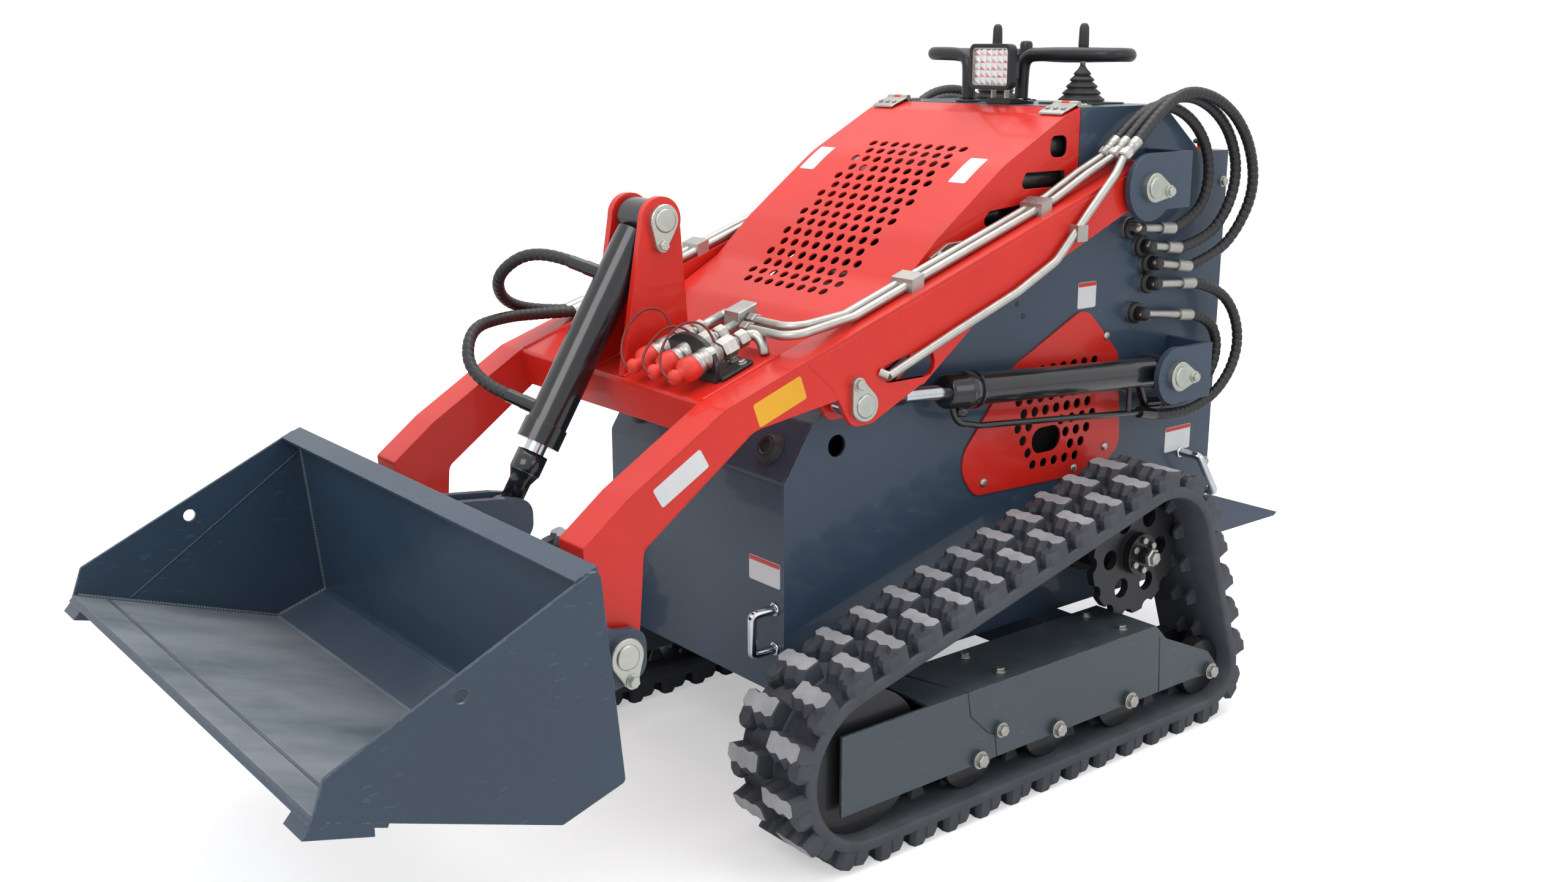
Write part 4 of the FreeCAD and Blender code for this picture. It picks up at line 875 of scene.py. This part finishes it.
def coupler_set(bm):
    for x, back in zip(COUPLERS, (-12, -27, -48)):
        turned(bm, on_plate(x, back, COUPLER_RISE), COUPLER_AXIS, [(0, 10), (70, 10)], 20)
        turned(bm, on_plate(x, -155, COUPLER_RISE), COUPLER_AXIS, CAP_PROFILE, 32, 2)
        turned(bm, on_plate(x, -108, COUPLER_RISE), COUPLER_AXIS, BODY_PROFILE, 32)
        for y, profile in NUT_PROFILES.items():
            turned(bm, on_plate(x, y, COUPLER_RISE), COUPLER_AXIS, profile, 6, smooth=False)
    angles = [math.pi * k / 24 for k in range(25)]
    outline = [(182 + 78 * math.cos(angle), 22 + 50 * math.sin(angle)) for angle in angles]
    outline += [(104, 1), (260, 1)]
    bracket = [[bm.verts.new(on_plate(x, y, off)) for x, off in outline] for y in (-134, -126)]
    skin(bm, bracket, 1, False, True, True)
    slanted_block(bm, 212, 268, -126, -62, 0.5, 7, 1)
    slanted_block(bm, 96, 150, -126, -84, 0.5, 7, 1)
    for x, y in ((230, -76), (254, -76)):
        bolt(bm, on_plate(x, y, 7), (0, -0.33, 0.94), 7, 5)
    slanted_block(bm, 138, 180, -26, 14, 22, 58, 0)
    turned(bm, on_plate(140, -1, 36), (-1, 0, 0), [(0, 13), (12, 13), (14, 9), (26, 9)], 6, smooth=False)
    turned(bm, on_plate(198, -27, 36), (1, 0, 0), [(0, 13), (14, 13), (16, 11)], 6, smooth=False)
    turned(bm, on_plate(184, -1, 36), (1, 0, 0), [(0, 13), (14, 13), (16, 11)], 6, smooth=False)
    for bend in ([(113, -1, 37), (113, -4, 37), (113, -14, 37)],
                 [(232, -52, 37), (234, -40, 36), (246, -34, 30), (257, -32, 14), (257, -32, 2)],
                 [(113, -20, 37), (106, -12, 33), (100, -8, 20), (100, -8, 1)]):
        sweep(bm, smooth_line([on_plate(*p) for p in bend], 6), lambda run: 0.0095, 16)


fitted("coupler_dress", coupler_set, ["zinc", "black_paint", "red_rubber"], "arms", "couplers")

LEASHES = [(113, -34, 96), (174, -30, 74), (232, -42, 88)]
for number, (x, sway, rise) in enumerate(LEASHES):
    control = [on_plate(x, -116, 57), on_plate(x + sway * 0.2, -122, rise),
               on_plate(x + sway * 0.8, -152, rise + 18), on_plate(x + sway, -190, rise),
               on_plate(x + sway * 0.5, -214, 52), on_plate(x, -205, 37)]
    line = smooth_line(control, 14)
    leash = fitted("cap_leash_%d" % number, lambda bm: sweep(bm, line, lambda run: 0.0022, 10), ["leash_red"],
                   "arms")

# %% [markdown]
# Small bright stickers are part of how the machine reads, so each one has its own place, size and colours.
# A sticker is laid by casting its outline on to the steel behind it, which makes it follow the bend of the
# hood as well as it lies on a flat side.

# %% Stickers
STICKERS = [
    # body, carrier, centre, way in, along, width, height, colour, band
    ("arms", "arm_left", (355, -76, 798), (-1, 0, 0), (0, 0.94, 0.34), 104, 42, "sticker_yellow", False),
    ("arms", "arm_left", (355, -273, 704), (-1, 0, 0), (0, 0.87, 0.50), 104, 36, "sticker_white", False),
    ("hood", "hood", (196, 500, 1128), (0, 0.5, -0.87), (1, 0, 0), 44, 74, "sticker_white", False),
    ("hood", "hood", (-238, 500, 1128), (0, 0.5, -0.87), (1, 0, 0), 44, 74, "sticker_white", False),
    ("chassis", "side_plate_left", (270, 766, 878), (-1, 0, 0), (0, 1, 0), 54, 52, "sticker_white", True),
    ("chassis", "side_plate_left", (270, 1084, 538), (-1, 0, 0), (0, 1, 0), 86, 54, "sticker_white", True),
    ("chassis", "front_plate", (216, 0, 456), (0, 1, 0), (1, 0, 0), 88, 46, "sticker_white", True),
]


def close_points(outline, step):
    """The outline with points added, so that a sticker follows a fold under it."""
    dense = []
    for (a0, b0), (a1, b1) in zip(outline, outline[1:] + outline[:1]):
        parts = max(1, math.ceil(math.hypot(a1 - a0, b1 - b0) / step))
        dense += [(a0 + (a1 - a0) * k / parts, b0 + (b1 - b0) * k / parts) for k in range(parts)]
    return dense


def sticker(bm, carrier, centre, into, along, width, height, band):
    """Rounded outline with rings inside it, each point cast on to the carrier."""
    into = Vector(into).normalized()
    along = Vector(along).normalized()
    up = into.cross(along).normalized()
    if up.z < 0:
        up = -up
    middle = at(*centre)

    def patch(x0, x1, z0, z1, radius, lift, slot):
        ca, cb = (x0 + x1) / 2, (z0 + z1) / 2
        outline = close_points(rounded(x0, x1, z0, z1, radius, 3), 5)
        steps = [(1.0, -0.3), (1.0, lift)]
        steps += [(share, lift + 0.1) for share in (0.96, 0.78, 0.58, 0.38, 0.18, 0.02)]
        rings = []
        for share, off in steps:
            ring = []
            for a, b in outline:
                a2, b2 = ca + (a - ca) * share, cb + (b - cb) * share
                start = middle + (along * a2 + up * b2) / 1000 - into * 0.06
                hit, place = carrier.ray_cast(start, into)[:2]
                place = place if hit else start + into * 0.06
                ring.append(bm.verts.new(place - into * off / 1000))
            rings.append(ring)
        skin(bm, rings, slot, last=True)

    patch(-width / 2, width / 2, -height / 2, height / 2, 4, 0.5, 0)
    if band:
        patch(-width / 2 + 1, width / 2 - 1, height / 2 - 9, height / 2 - 1, 2, 0.8, 1)


for number, (body, carrier, *measures, colour, band) in enumerate(STICKERS):
    fitted("sticker_%d" % number, lambda bm: sticker(bm, NODES[carrier], *measures, band),
           [colour, "sticker_red"], body)

# %% [markdown]
# The bucket is welded from plate. A weld shows as a low bead with even ripples, so it is a thin sweep
# whose radius goes up and down, laid in each inside corner. The sides are stiffened by a fold that runs
# from the cutting edge to the top of the back; a narrow raised line is enough to catch the light there.

# %% Bucket welds and folds
FLOOR_BACK = (-602, 301)
HEEL = (-504, 333)
BACK_TOP = (-536, 655)
EDGE_FRONT = (-952, 421)
SEAM = (-905, 405)


def bead(bm, start, end, radius, ripple=0.22, pitch=0.0055):
    """Weld bead between two points in mm, half sunk in its corner."""
    a, b = at(*start), at(*end)
    count = max(4, round((b - a).length / (pitch / 3)))
    line = [a + (b - a) * (k / count) for k in range(count + 1)]
    sweep(bm, line, lambda run: radius / 1000 * (1 + ripple * math.sin(2 * math.pi * run / pitch)), 8)


def bucket_welds(bm):
    corner = [EDGE_FRONT, FLOOR_BACK, HEEL, BACK_TOP]
    for side in SIDES:
        for a, b in zip(corner, corner[1:]):
            bead(bm, (side * 518, *a), (side * 518, *b), 4.0)
    bead(bm, (-517, *SEAM), (517, *SEAM), 2.2, 0.35)
    bead(bm, (-517, *HEEL), (517, *HEEL), 2.0, 0.1)


def bucket_folds(bm):
    for side in SIDES:
        bead(bm, (side * 519, -868, 394), (side * 519, -524, 622), 1.3, 0.02, 0.03)


fitted("bucket_welds", bucket_welds, ["weld"], "bucket")
fitted("bucket_folds", bucket_folds, ["slate_paint"], "bucket")

# %% [markdown]
# The track frame's cover is folded from two sheets that meet in a stepped joint, and the plate over the
# rear idler is a third. A dark line half a millimetre proud stands for the gap between them.

# %% Joints in the track frames
JOINT = [(243, 250.6), (251, 203), (296, 160), (316, 150), (322, 105.6)]
REAR_JOINT = [(779, 224), (786, 105.6)]


def frame_joints(bm):
    for side in SIDES:
        lines = [(at(side * RAIL_X, *a), at(side * RAIL_X, *b))
                 for points in (JOINT, REAR_JOINT) for a, b in zip(points, points[1:])]
        lines.append((at(side * RAIL_X, 243, 250.2), at(side * 335, 205, 250.2)))
        for ends in lines:
            sweep(bm, ends, lambda run: 0.0011, 6)


fitted("track_frame_joints", frame_joints, ["black_rubber"], "chassis")

# %% [markdown]
# The rods end in black forged eyes, and only the middle of each is bright. A turned sleeve goes over the
# rod's end, the eye over its pin, and a gland nut over each barrel's mouth. The crimps where hoses meet
# tubes get hexagon nuts.

# %% Rod ends, glands, hinge leaves and tube nuts
MAST_PIN = at(0, -94, 1065)
EYE = at(0, -392, 582)
LIFT_FRONT = (100, 767)
LIFT_REAR = (930, 711)


def lift_rod_end(bm, side):
    pin = at(side * LIFT_X, *LIFT_FRONT)
    way = (at(side * LIFT_X, *LIFT_REAR) - pin).normalized()
    turned(bm, pin, way, [(20, 21), (52, 21), (60, 20), (66, 17), (122, 16.5), (126, 14.5)], 28)


def lift_gland(bm, side):
    """Gland nut in the barrel's mouth, with the port boss under it."""
    rear = at(side * LIFT_X, *LIFT_REAR)
    way = (at(side * LIFT_X, *LIFT_FRONT) - rear).normalized()
    body = (at(side * LIFT_X, *LIFT_FRONT) - rear).length * 1000 - 272
    nose = [(-34, 34.5), (0, 34.5), (4, 31.5), (38, 31.5), (43, 29), (45, 25), (45, 15)]
    turned(bm, rear, way, [(body + along, radius) for along, radius in nose], 40)
    for step in (body - 34, body - 6):
        turned(bm, rear, way, [(step, 35.2), (step + 5, 35.2)], 40)
    down = Vector((0, way.z, -way.y)) * (1 if way.y < 0 else -1)
    turned(bm, rear + way * (body - 4) / 1000 - down * 0.028, -down, [(0, 13), (18, 13), (20, 10)], 20)


def tilt_rod_end(bm):
    way = (EYE - MAST_PIN).normalized()
    span = (EYE - MAST_PIN).length * 1000
    profile = [(119, 20), (118, 27), (84, 27), (80, 25), (66, 19), (30, 19)]
    turned(bm, MAST_PIN, way, [(span - short, radius) for short, radius in profile], 32)
    for side in SIDES:
        turned(bm, EYE, (side, 0, 0), [(0, 35.5), (16, 35.5), (18, 33)], 40)
        turned(bm, EYE + Vector((side * 0.0175, 0, 0)), (side, 0, 0), [(0, 22), (2, 21), (2.5, 15)], 32, 1)


for side, label in SIDE_NAMES:
    fitted("lift_rod_end_" + label, lambda bm: lift_rod_end(bm, side), ["cylinder_black"],
           "lift_rod_" + label)
    fitted("lift_gland_" + label, lambda bm: lift_gland(bm, side), ["cylinder_black"],
           "lift_barrel_" + label)
fitted("tilt_rod_end", tilt_rod_end, ["cylinder_black", "chrome"], "tilt_rod")


def hinge_leaves(bm):
    leaf = [(720, 1244), (722, 1248.5), (684, 1235), (676, 1230.5), (676, 1227.5), (684, 1230.5)]
    for x in (235, -235):
        for side in SIDES:
            cut_plate(bm, leaf, x, x + side * 30)
        for off in (-20, 0, 20):
            bolt(bm, at(x + off, 692, 1237), (0, -0.35, 0.94), 5, 3, washer=False)


fitted("hinge_leaves", hinge_leaves, ["zinc"], "hood")


def tube_nuts(bm):
    way = (at(0, 800, 1178) - at(0, 762, 1150)).normalized()
    for side, lanes in ((1, LANES), (-1, LANES[:2])):
        for lane in lanes:
            foot = at(side * lane, 762, 1150)
            turned(bm, foot, way, [(-3, 11.5), (0, 13.5), (12, 13.5), (15, 12)], 6, smooth=False)
            turned(bm, foot, way, [(18, 12.4), (40, 12.4), (43, 11.6)], 20)


fitted("tube_nuts", tube_nuts, ["zinc"], "arms")

# %% [markdown]
# The driver's side and the deck hold the small controls, and the engine bay shows through the hood's
# slots. A turned gauge, a key and a red stop knob, ribs pressed into the platform, and a filter, a fan
# housing and a few pipes are enough for the eye to find something behind every opening.

# %% Deck controls, platform tread, rear louvres and engine bay
DECK_SLOPE = (at(0, 1098, 1143) - at(0, 973, 1240)).normalized()
DECK_OUT = Vector((0, -DECK_SLOPE.z, DECK_SLOPE.y))


def on_deck(x, share):
    """Point on the sloping rear of the deck, 0 at its top edge and 1 at its foot."""
    return at(x, 980 + 108 * share, 1235 - 84 * share)


def deck_controls(bm):
    turned(bm, on_deck(-60, 0.5), DECK_OUT, [(-1, 34), (5, 34), (8, 31), (8, 27), (5, 26)], 40)
    turned(bm, on_deck(-60, 0.5), DECK_OUT, [(5, 26), (5.6, 26)], 40, 1)
    for k in range(9):
        angle = math.radians(-130 + 32.5 * k)
        spoke = Vector((1, 0, 0)) * math.sin(angle) - DECK_SLOPE * math.cos(angle)
        spot = on_deck(-60, 0.5) + spoke * 0.021 + DECK_OUT * 0.0055
        turned(bm, spot, DECK_OUT, [(0, 1.3), (0.5, 1.3)], 8)
    turned(bm, on_deck(60, 0.5), DECK_OUT, [(-1, 17), (3, 17), (5, 14), (9, 13), (10, 11)], 32, 2)
    turned(bm, on_deck(60, 0.5), DECK_OUT, [(10, 4), (24, 4), (25, 9), (31, 9), (32, 7)], 12, 2)
    knob = [(-1, 15), (6, 15), (8, 9), (16, 9), (17, 19), (24, 20), (29, 17), (31, 9)]
    turned(bm, on_deck(140, 0.5), DECK_OUT, knob, 36, 3)
    turned(bm, at(234, 1150, 1141), (0, 0, 1), [(0, 12), (3, 12), (4, 8), (14, 8)], 28, 3)
    turned(bm, at(234, 1150, 1155), (0, 0, 1), [(0, 9), (1, 16), (6, 17), (10, 13)], 28, 0)
    for x in (-200, 200):
        for share in (0.15, 0.85):
            bolt(bm, on_deck(x, share), DECK_OUT, 7, 5, 2)
    for x, y in LEVERS:
        outline = [(y - 62, 1240.2), (y + 62, 1240.2), (y + 60, 1243), (y - 60, 1243)]
        for side in SIDES:
            cut_plate(bm, outline, x, x + side * 60, 0.8)


fitted("deck_controls", deck_controls, ["black_rubber", "sticker_white", "zinc", "red_rubber"], "chassis")


def treads(bm):
    """Pressed ribs, turned left and right by turns, on the stand-on platform."""
    for i in range(11):
        for j in range(7):
            x, y = -220 + 44 * i, 1222 + 40 * j
            lean = 0.7 if (i + j) % 2 else -0.7
            way = Vector((math.cos(lean), math.sin(lean), 0)) * 0.013
            centre = at(x, y, 289)
            line = [centre - way, centre - way * 0.6, centre + way * 0.6, centre + way]
            sweep(bm, line, lambda run: 0.0008 if run < 0.001 or run > 0.0255 else 0.0021, 8)


def grille(bm):
    for k in range(9):
        z = 700 + 26 * k
        outline = [(1195.5, z), (1200, z - 2), (1207, z - 14), (1205, z - 15), (1195.5, z - 4)]
        for side in SIDES:
            cut_plate(bm, outline, 0, side * 150, 0.6)
    for x in (-190, 190):
        for z in (660, 930):
            bolt(bm, at(x, 1196, z), (0, 1, 0), 8)


def bay_parts(bm):
    way = Vector((0, 1, 0))
    turned(bm, at(238, 548, 1108), way, [(0, 20), (4, 24), (136, 24), (140, 20)], 28)
    turned(bm, at(238, 450, 1050), way, [(0, 14), (60, 14), (62, 18), (84, 18), (86, 14), (130, 14)])
    turned(bm, at(236, 628, 1170), way, [(0, 26), (70, 26)], 28)
    for y in (470, 520):
        turned(bm, at(238, y, 1050), way, [(0, 17.5), (8, 17.5)], 24, 1)
    # Air filter: ribbed can, rolled lid with its clamp, snorkel
    can = [(0, 74), (6, 80)]
    for k in range(6):
        can += [(14 + 16 * k, 80), (18 + 16 * k, 77), (22 + 16 * k, 77), (26 + 16 * k, 80)]
    can += [(122, 80), (126, 84), (132, 84), (136, 78), (140, 40), (141, 14)]
    turned(bm, at(180, 240, 745), UP, can, 48)
    turned(bm, at(180, 240, 863), UP, [(0, 82), (7, 82)], 48, 1)
    sweep(bm, smooth_line(row([(180, 300, 850), (182, 350, 852), (180, 420, 850), (140, 480, 840)]), 8),
          lambda run: 0.026 + 0.0018 * math.sin(run * 900), 20)
    # Fan housing with its screen, pull cup and bolts
    turned(bm, at(-60, 420, 745), UP, [(0, 112), (10, 122), (120, 122), (150, 116), (166, 96)], 56)
    for radius in (92, 76, 60, 44, 28):
        turned(bm, at(-60, 420, 912), UP, [(0, radius), (4, radius), (4, radius - 6), (0, radius - 6)], 48)
    turned(bm, at(-60, 420, 908), UP, [(0, 30), (14, 30), (20, 24), (21, 12)], 36, 1)
    for k in range(6):
        angle = math.pi * k / 3
        bolt(bm, at(-60 + 106 * math.cos(angle), 420 + 106 * math.sin(angle), 900), UP, 7, 5, 1)


for name, mesh_code, finishes, slot_name in (
        ("platform_tread", treads, ["slate_paint"], "slate_paint"),
        ("rear_louvres", grille, ["slate_paint"], "slate_paint"),
        ("engine_bay_parts", bay_parts, ["black_paint", "zinc"], "cast_iron")):
    fitted(name, mesh_code, finishes, "chassis")

# %% [markdown]
# What is left is at the joints between big parts: weld beads where the mast stands on the cross plate, the
# hood's side catch, hub bolts on the sprockets and a moulded rim on the nose plugs.

# %% Welds on the arms, hood catch, hubs and plugs


def arm_welds(bm):
    for side in SIDES:
        for x in (41, 54):
            bead(bm, (side * x, -178, 803.5), (side * x, -42, 851), 3.0)
        bead(bm, (side * 284.5, -180, 802.5), (side * 284.5, -22, 857.5), 3.2)
        for a, b in (((-186, 800), (-340, 707)), ((-345, 603), (-131, 757))):
            bead(bm, (side * ARM_X, *a), (side * ARM_X, *b), 1.0, 0.1)


def catches(bm):
    hook = [(330, 978), (412, 1002), (412, 1012), (372, 1010), (330, 988)]
    for side in SIDES:
        cut_plate(bm, hook, side * 272, side * 277, 0.8)
        turned(bm, at(side * 277, 352, 990), (side, 0, 0), [(0, 8), (4, 8), (5, 6)])


def hubs_and_plugs(bm):
    for side in SIDES:
        for k in range(6):
            angle = math.pi * (k + 0.5) / 3
            spot = at(side * 436, 774 + 30 * math.cos(angle), 382 + 30 * math.sin(angle))
            bolt(bm, spot, (side, 0, 0), 7.5, washer=False)
        hub = [(0, 19), (6, 19), (8, 15), (14, 13), (16, 8)]
        turned(bm, at(side * 456, 774, 382), (side, 0, 0), hub, 6, smooth=False)
        nose = at(side * 200, 29.5, 670.1)
        out = Vector((0, -100, 64)).normalized()
        rim = [(-3, 21), (2, 22), (3, 20), (2.5, 13), (-1, 12), (-1, 5)]
        turned(bm, nose + out * 0.0155, out, rim, 32, 1)


fitted("arm_welds", arm_welds, ["red_paint"], "arms")
fitted("hood_catches", catches, ["zinc"], "hood")
fitted("hub_bolts_and_plug_rims", hubs_and_plugs, ["zinc", "black_rubber"], "chassis")

# %% [markdown]
# Each arm has a long window behind its lift pin, cut through both plates to save weight, and a flank plate
# whose front edge shows as a step. An opening with depth can't be painted on, so a copy of the arm's mesh
# and the new plates are cut by a Boolean, and the cutter is thrown away.

# %% Windows in the arms, and painted shade for small holes in the sides
WINDOW = [(146, 814), (148, 804), (156, 798), (168, 797), (246, 797), (259, 800), (267, 809), (269, 822),
          (265, 836), (256, 845), (244, 847), (214, 842), (160, 830), (150, 826)]
FLANK = [(-17, 849), (39, 799), (71, 743.6), (76.5, 736.8), (84, 732.5), (92.5, 731), (116.5, 731),
         (127, 733.3), (235, 783), (244, 784), (386, 891), (770, 1048), (806, 1052), (812, 1132), (-10, 854)]
INNER_WEB = [(225, 779), (244, 784), (386, 891), (372, 892), (228, 842)]


def cut_window(piece, side):
    """Cuts the window out of a piece's own mesh."""
    cutter = mesh_piece("window_cutter", lambda bm: cut_plate(bm, WINDOW, side * 275, side * 365, 0.01))
    cut = piece.modifiers.new("window", "BOOLEAN")
    cut.object = cutter
    cut.solver = "EXACT"
    cut_piece = piece.evaluated_get(bpy.context.evaluated_depsgraph_get())
    made = bpy.data.meshes.new_from_object(cut_piece)
    piece.modifiers.clear()
    piece.data = made
    bpy.data.objects.remove(cutter)


def webs(bm, side):
    """The flank plate that reaches past the arm's lower edge, and the web inside it."""
    cut_plate(bm, FLANK, side * 346, side * 355.9, 0.7)
    cut_plate(bm, INNER_WEB, side * 293, side * 285.2, 0.7)


for side, label in SIDE_NAMES:
    arm = new_object("arm_windowed_" + label, NODES["arm_" + label].data.copy())
    web = mesh_piece("arm_webs_" + label, lambda bm: webs(bm, side), [FINISH["red_paint"]])
    for piece in (arm, web):
        cut_window(piece, side)
        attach(piece, "arms")
    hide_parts("arm_" + label)
    print(arm.name, len(arm.data.polygons), "faces,", web.name, len(web.data.polygons))


def hole_shade_discs_and_grommets(bm):
    for side in SIDES:
        # Painted shade: each small hole is a black disc a little proud of the side, for the dark inside of a
        # hole.
        for y, z in ((567, 880), (584, 855)):
            turned(bm, at(side * BODY_X, y, z), (side, 0, 0), [(-1, 5.5), (0.4, 5.5), (0.6, 5)], 20)
        for y, z in ((881, 1001), (917, 964), (942, 928), (942, 887), (907, 829)):
            turned(bm, at(side * 277, y, z), (side, 0, 0), [(0, 22), (5, 22), (8, 19), (9, 12)], 32)
            turned(bm, at(side * 284, y, z), (side, 0, 0), [(0, 14), (17, 14), (24, 12), (28, 7)])


fitted("grommets_and_hole_shade_discs", hole_shade_discs_and_grommets, ["black_rubber"], "chassis")

# %% [markdown]
# The tie-down handles are bent round bar with bright plating. The spline rounds their corners as a bender
# does, and the ends stand on small welded discs.

# %% Tie-down handles
HANDLES = [((270, 1097, 505), (270, 1160, 415), (1, 0, 0)), ((244, 0, 393), (244, 0, 319), (0, -1, 0))]


def handle_set(bm):
    for side in SIDES:
        for foot, other, out in HANDLES:
            a = at(side * foot[0], *foot[1:])
            b = at(side * other[0], *other[1:])
            way = Vector((side * out[0], out[1], 0))
            far_a, far_b = a + way * 0.050, b + way * 0.050
            points = [a, a + way * 0.022, far_a, far_a + (far_b - far_a) * 0.2, far_b + (far_a - far_b) * 0.2,
                      far_b, b + way * 0.022, b]
            sweep(bm, smooth_line(points, 8), lambda run: 0.0085, 18)
            for end in (a, b):
                turned(bm, end, way, [(0, 13), (2, 13), (4, 9)])


fitted("handle_bars", handle_set, ["chrome"], "chassis", "tie_handles")

# %% [markdown]
# The floor is a plain pale sheet with the machine's shadow on it. The background is white for the camera
# and for reflections through Light Path, so it takes no extra light on the machine to make it so. Three
# large soft lamps and a dimmer sky light the paint at about the level at which its colours are written.

# %% Floor, background and lamps


def floor_sheet(bm):
    bmesh.ops.create_grid(bm, x_segments=2, y_segments=2, size=9.0)


floor_material, tree, shader = new_material("pale_floor", (0.86, 0.86, 0.86), 0.85)
speckle = between(tree, noise(tree, 40.0, 3, 0.5), 0.2, 0.8)
tree.links.new(mixed(tree, speckle, (0.84, 0.84, 0.84), (0.88, 0.88, 0.88)), shader.inputs["Base Color"])
path_kind = add_node(tree, "LightPath")
centre = add_node(tree, "VectorMath", {0: add_node(tree, "TexCoord").outputs["Object"]}, operation="LENGTH")
away = maths(tree, "MULTIPLY_ADD", between(tree, centre.outputs["Value"], 1.3, 3.2), 0.6, 0.42)
strength = maths(tree, "MULTIPLY", path_kind.outputs["Is Camera Ray"], away)
glow = add_node(tree, "Emission", {"Color": (1, 1, 1, 1), "Strength": strength})
both = add_node(tree, "AddShader", {0: shader.outputs[0], 1: glow.outputs[0]})
tree.links.new(both.outputs[0], tree.nodes["Material Output"].inputs["Surface"])
floor = mesh_piece("floor", floor_sheet, [floor_material])
floor.location.z = -0.0005

world = bpy.data.worlds.new("studio")
bpy.context.scene.world = world
world.use_nodes = True
tree = world.node_tree
path_kind = add_node(tree, "LightPath")
seen = maths(tree, "MAXIMUM", path_kind.outputs["Is Camera Ray"],
             maths(tree, "MAXIMUM", path_kind.outputs["Is Glossy Ray"],
                   path_kind.outputs["Is Transmission Ray"]))
SKY_LEVEL = 0.74
level = maths(tree, "MULTIPLY_ADD", seen, 1.0 - SKY_LEVEL, SKY_LEVEL)
background = tree.nodes["Background"]
background.inputs["Color"].default_value = (1, 1, 1, 1)
tree.links.new(level, background.inputs["Strength"])


def soft_lamp(name, place, aim, size, power):
    data = bpy.data.lights.new(name, "AREA")
    data.shape = "RECTANGLE"
    data.size, data.size_y = size
    data.energy = power
    lamp = new_object(name, data)
    lamp.location = place
    lamp.rotation_euler = (Vector(aim) - Vector(place)).to_track_quat("-Z", "Y").to_euler()
    return lamp


soft_lamp("key", (1.2, -3.4, 3.4), (0, -0.1, 0.5), (2.6, 2.0), 58)
soft_lamp("side", (4.0, 1.2, 2.4), (0, 0.2, 0.5), (2.4, 2.0), 24)
soft_lamp("top", (-0.2, 0.6, 4.0), (0, 0, 0.6), (3.4, 3.0), 72)

scene = bpy.context.scene
scene.view_settings.view_transform = "Standard"
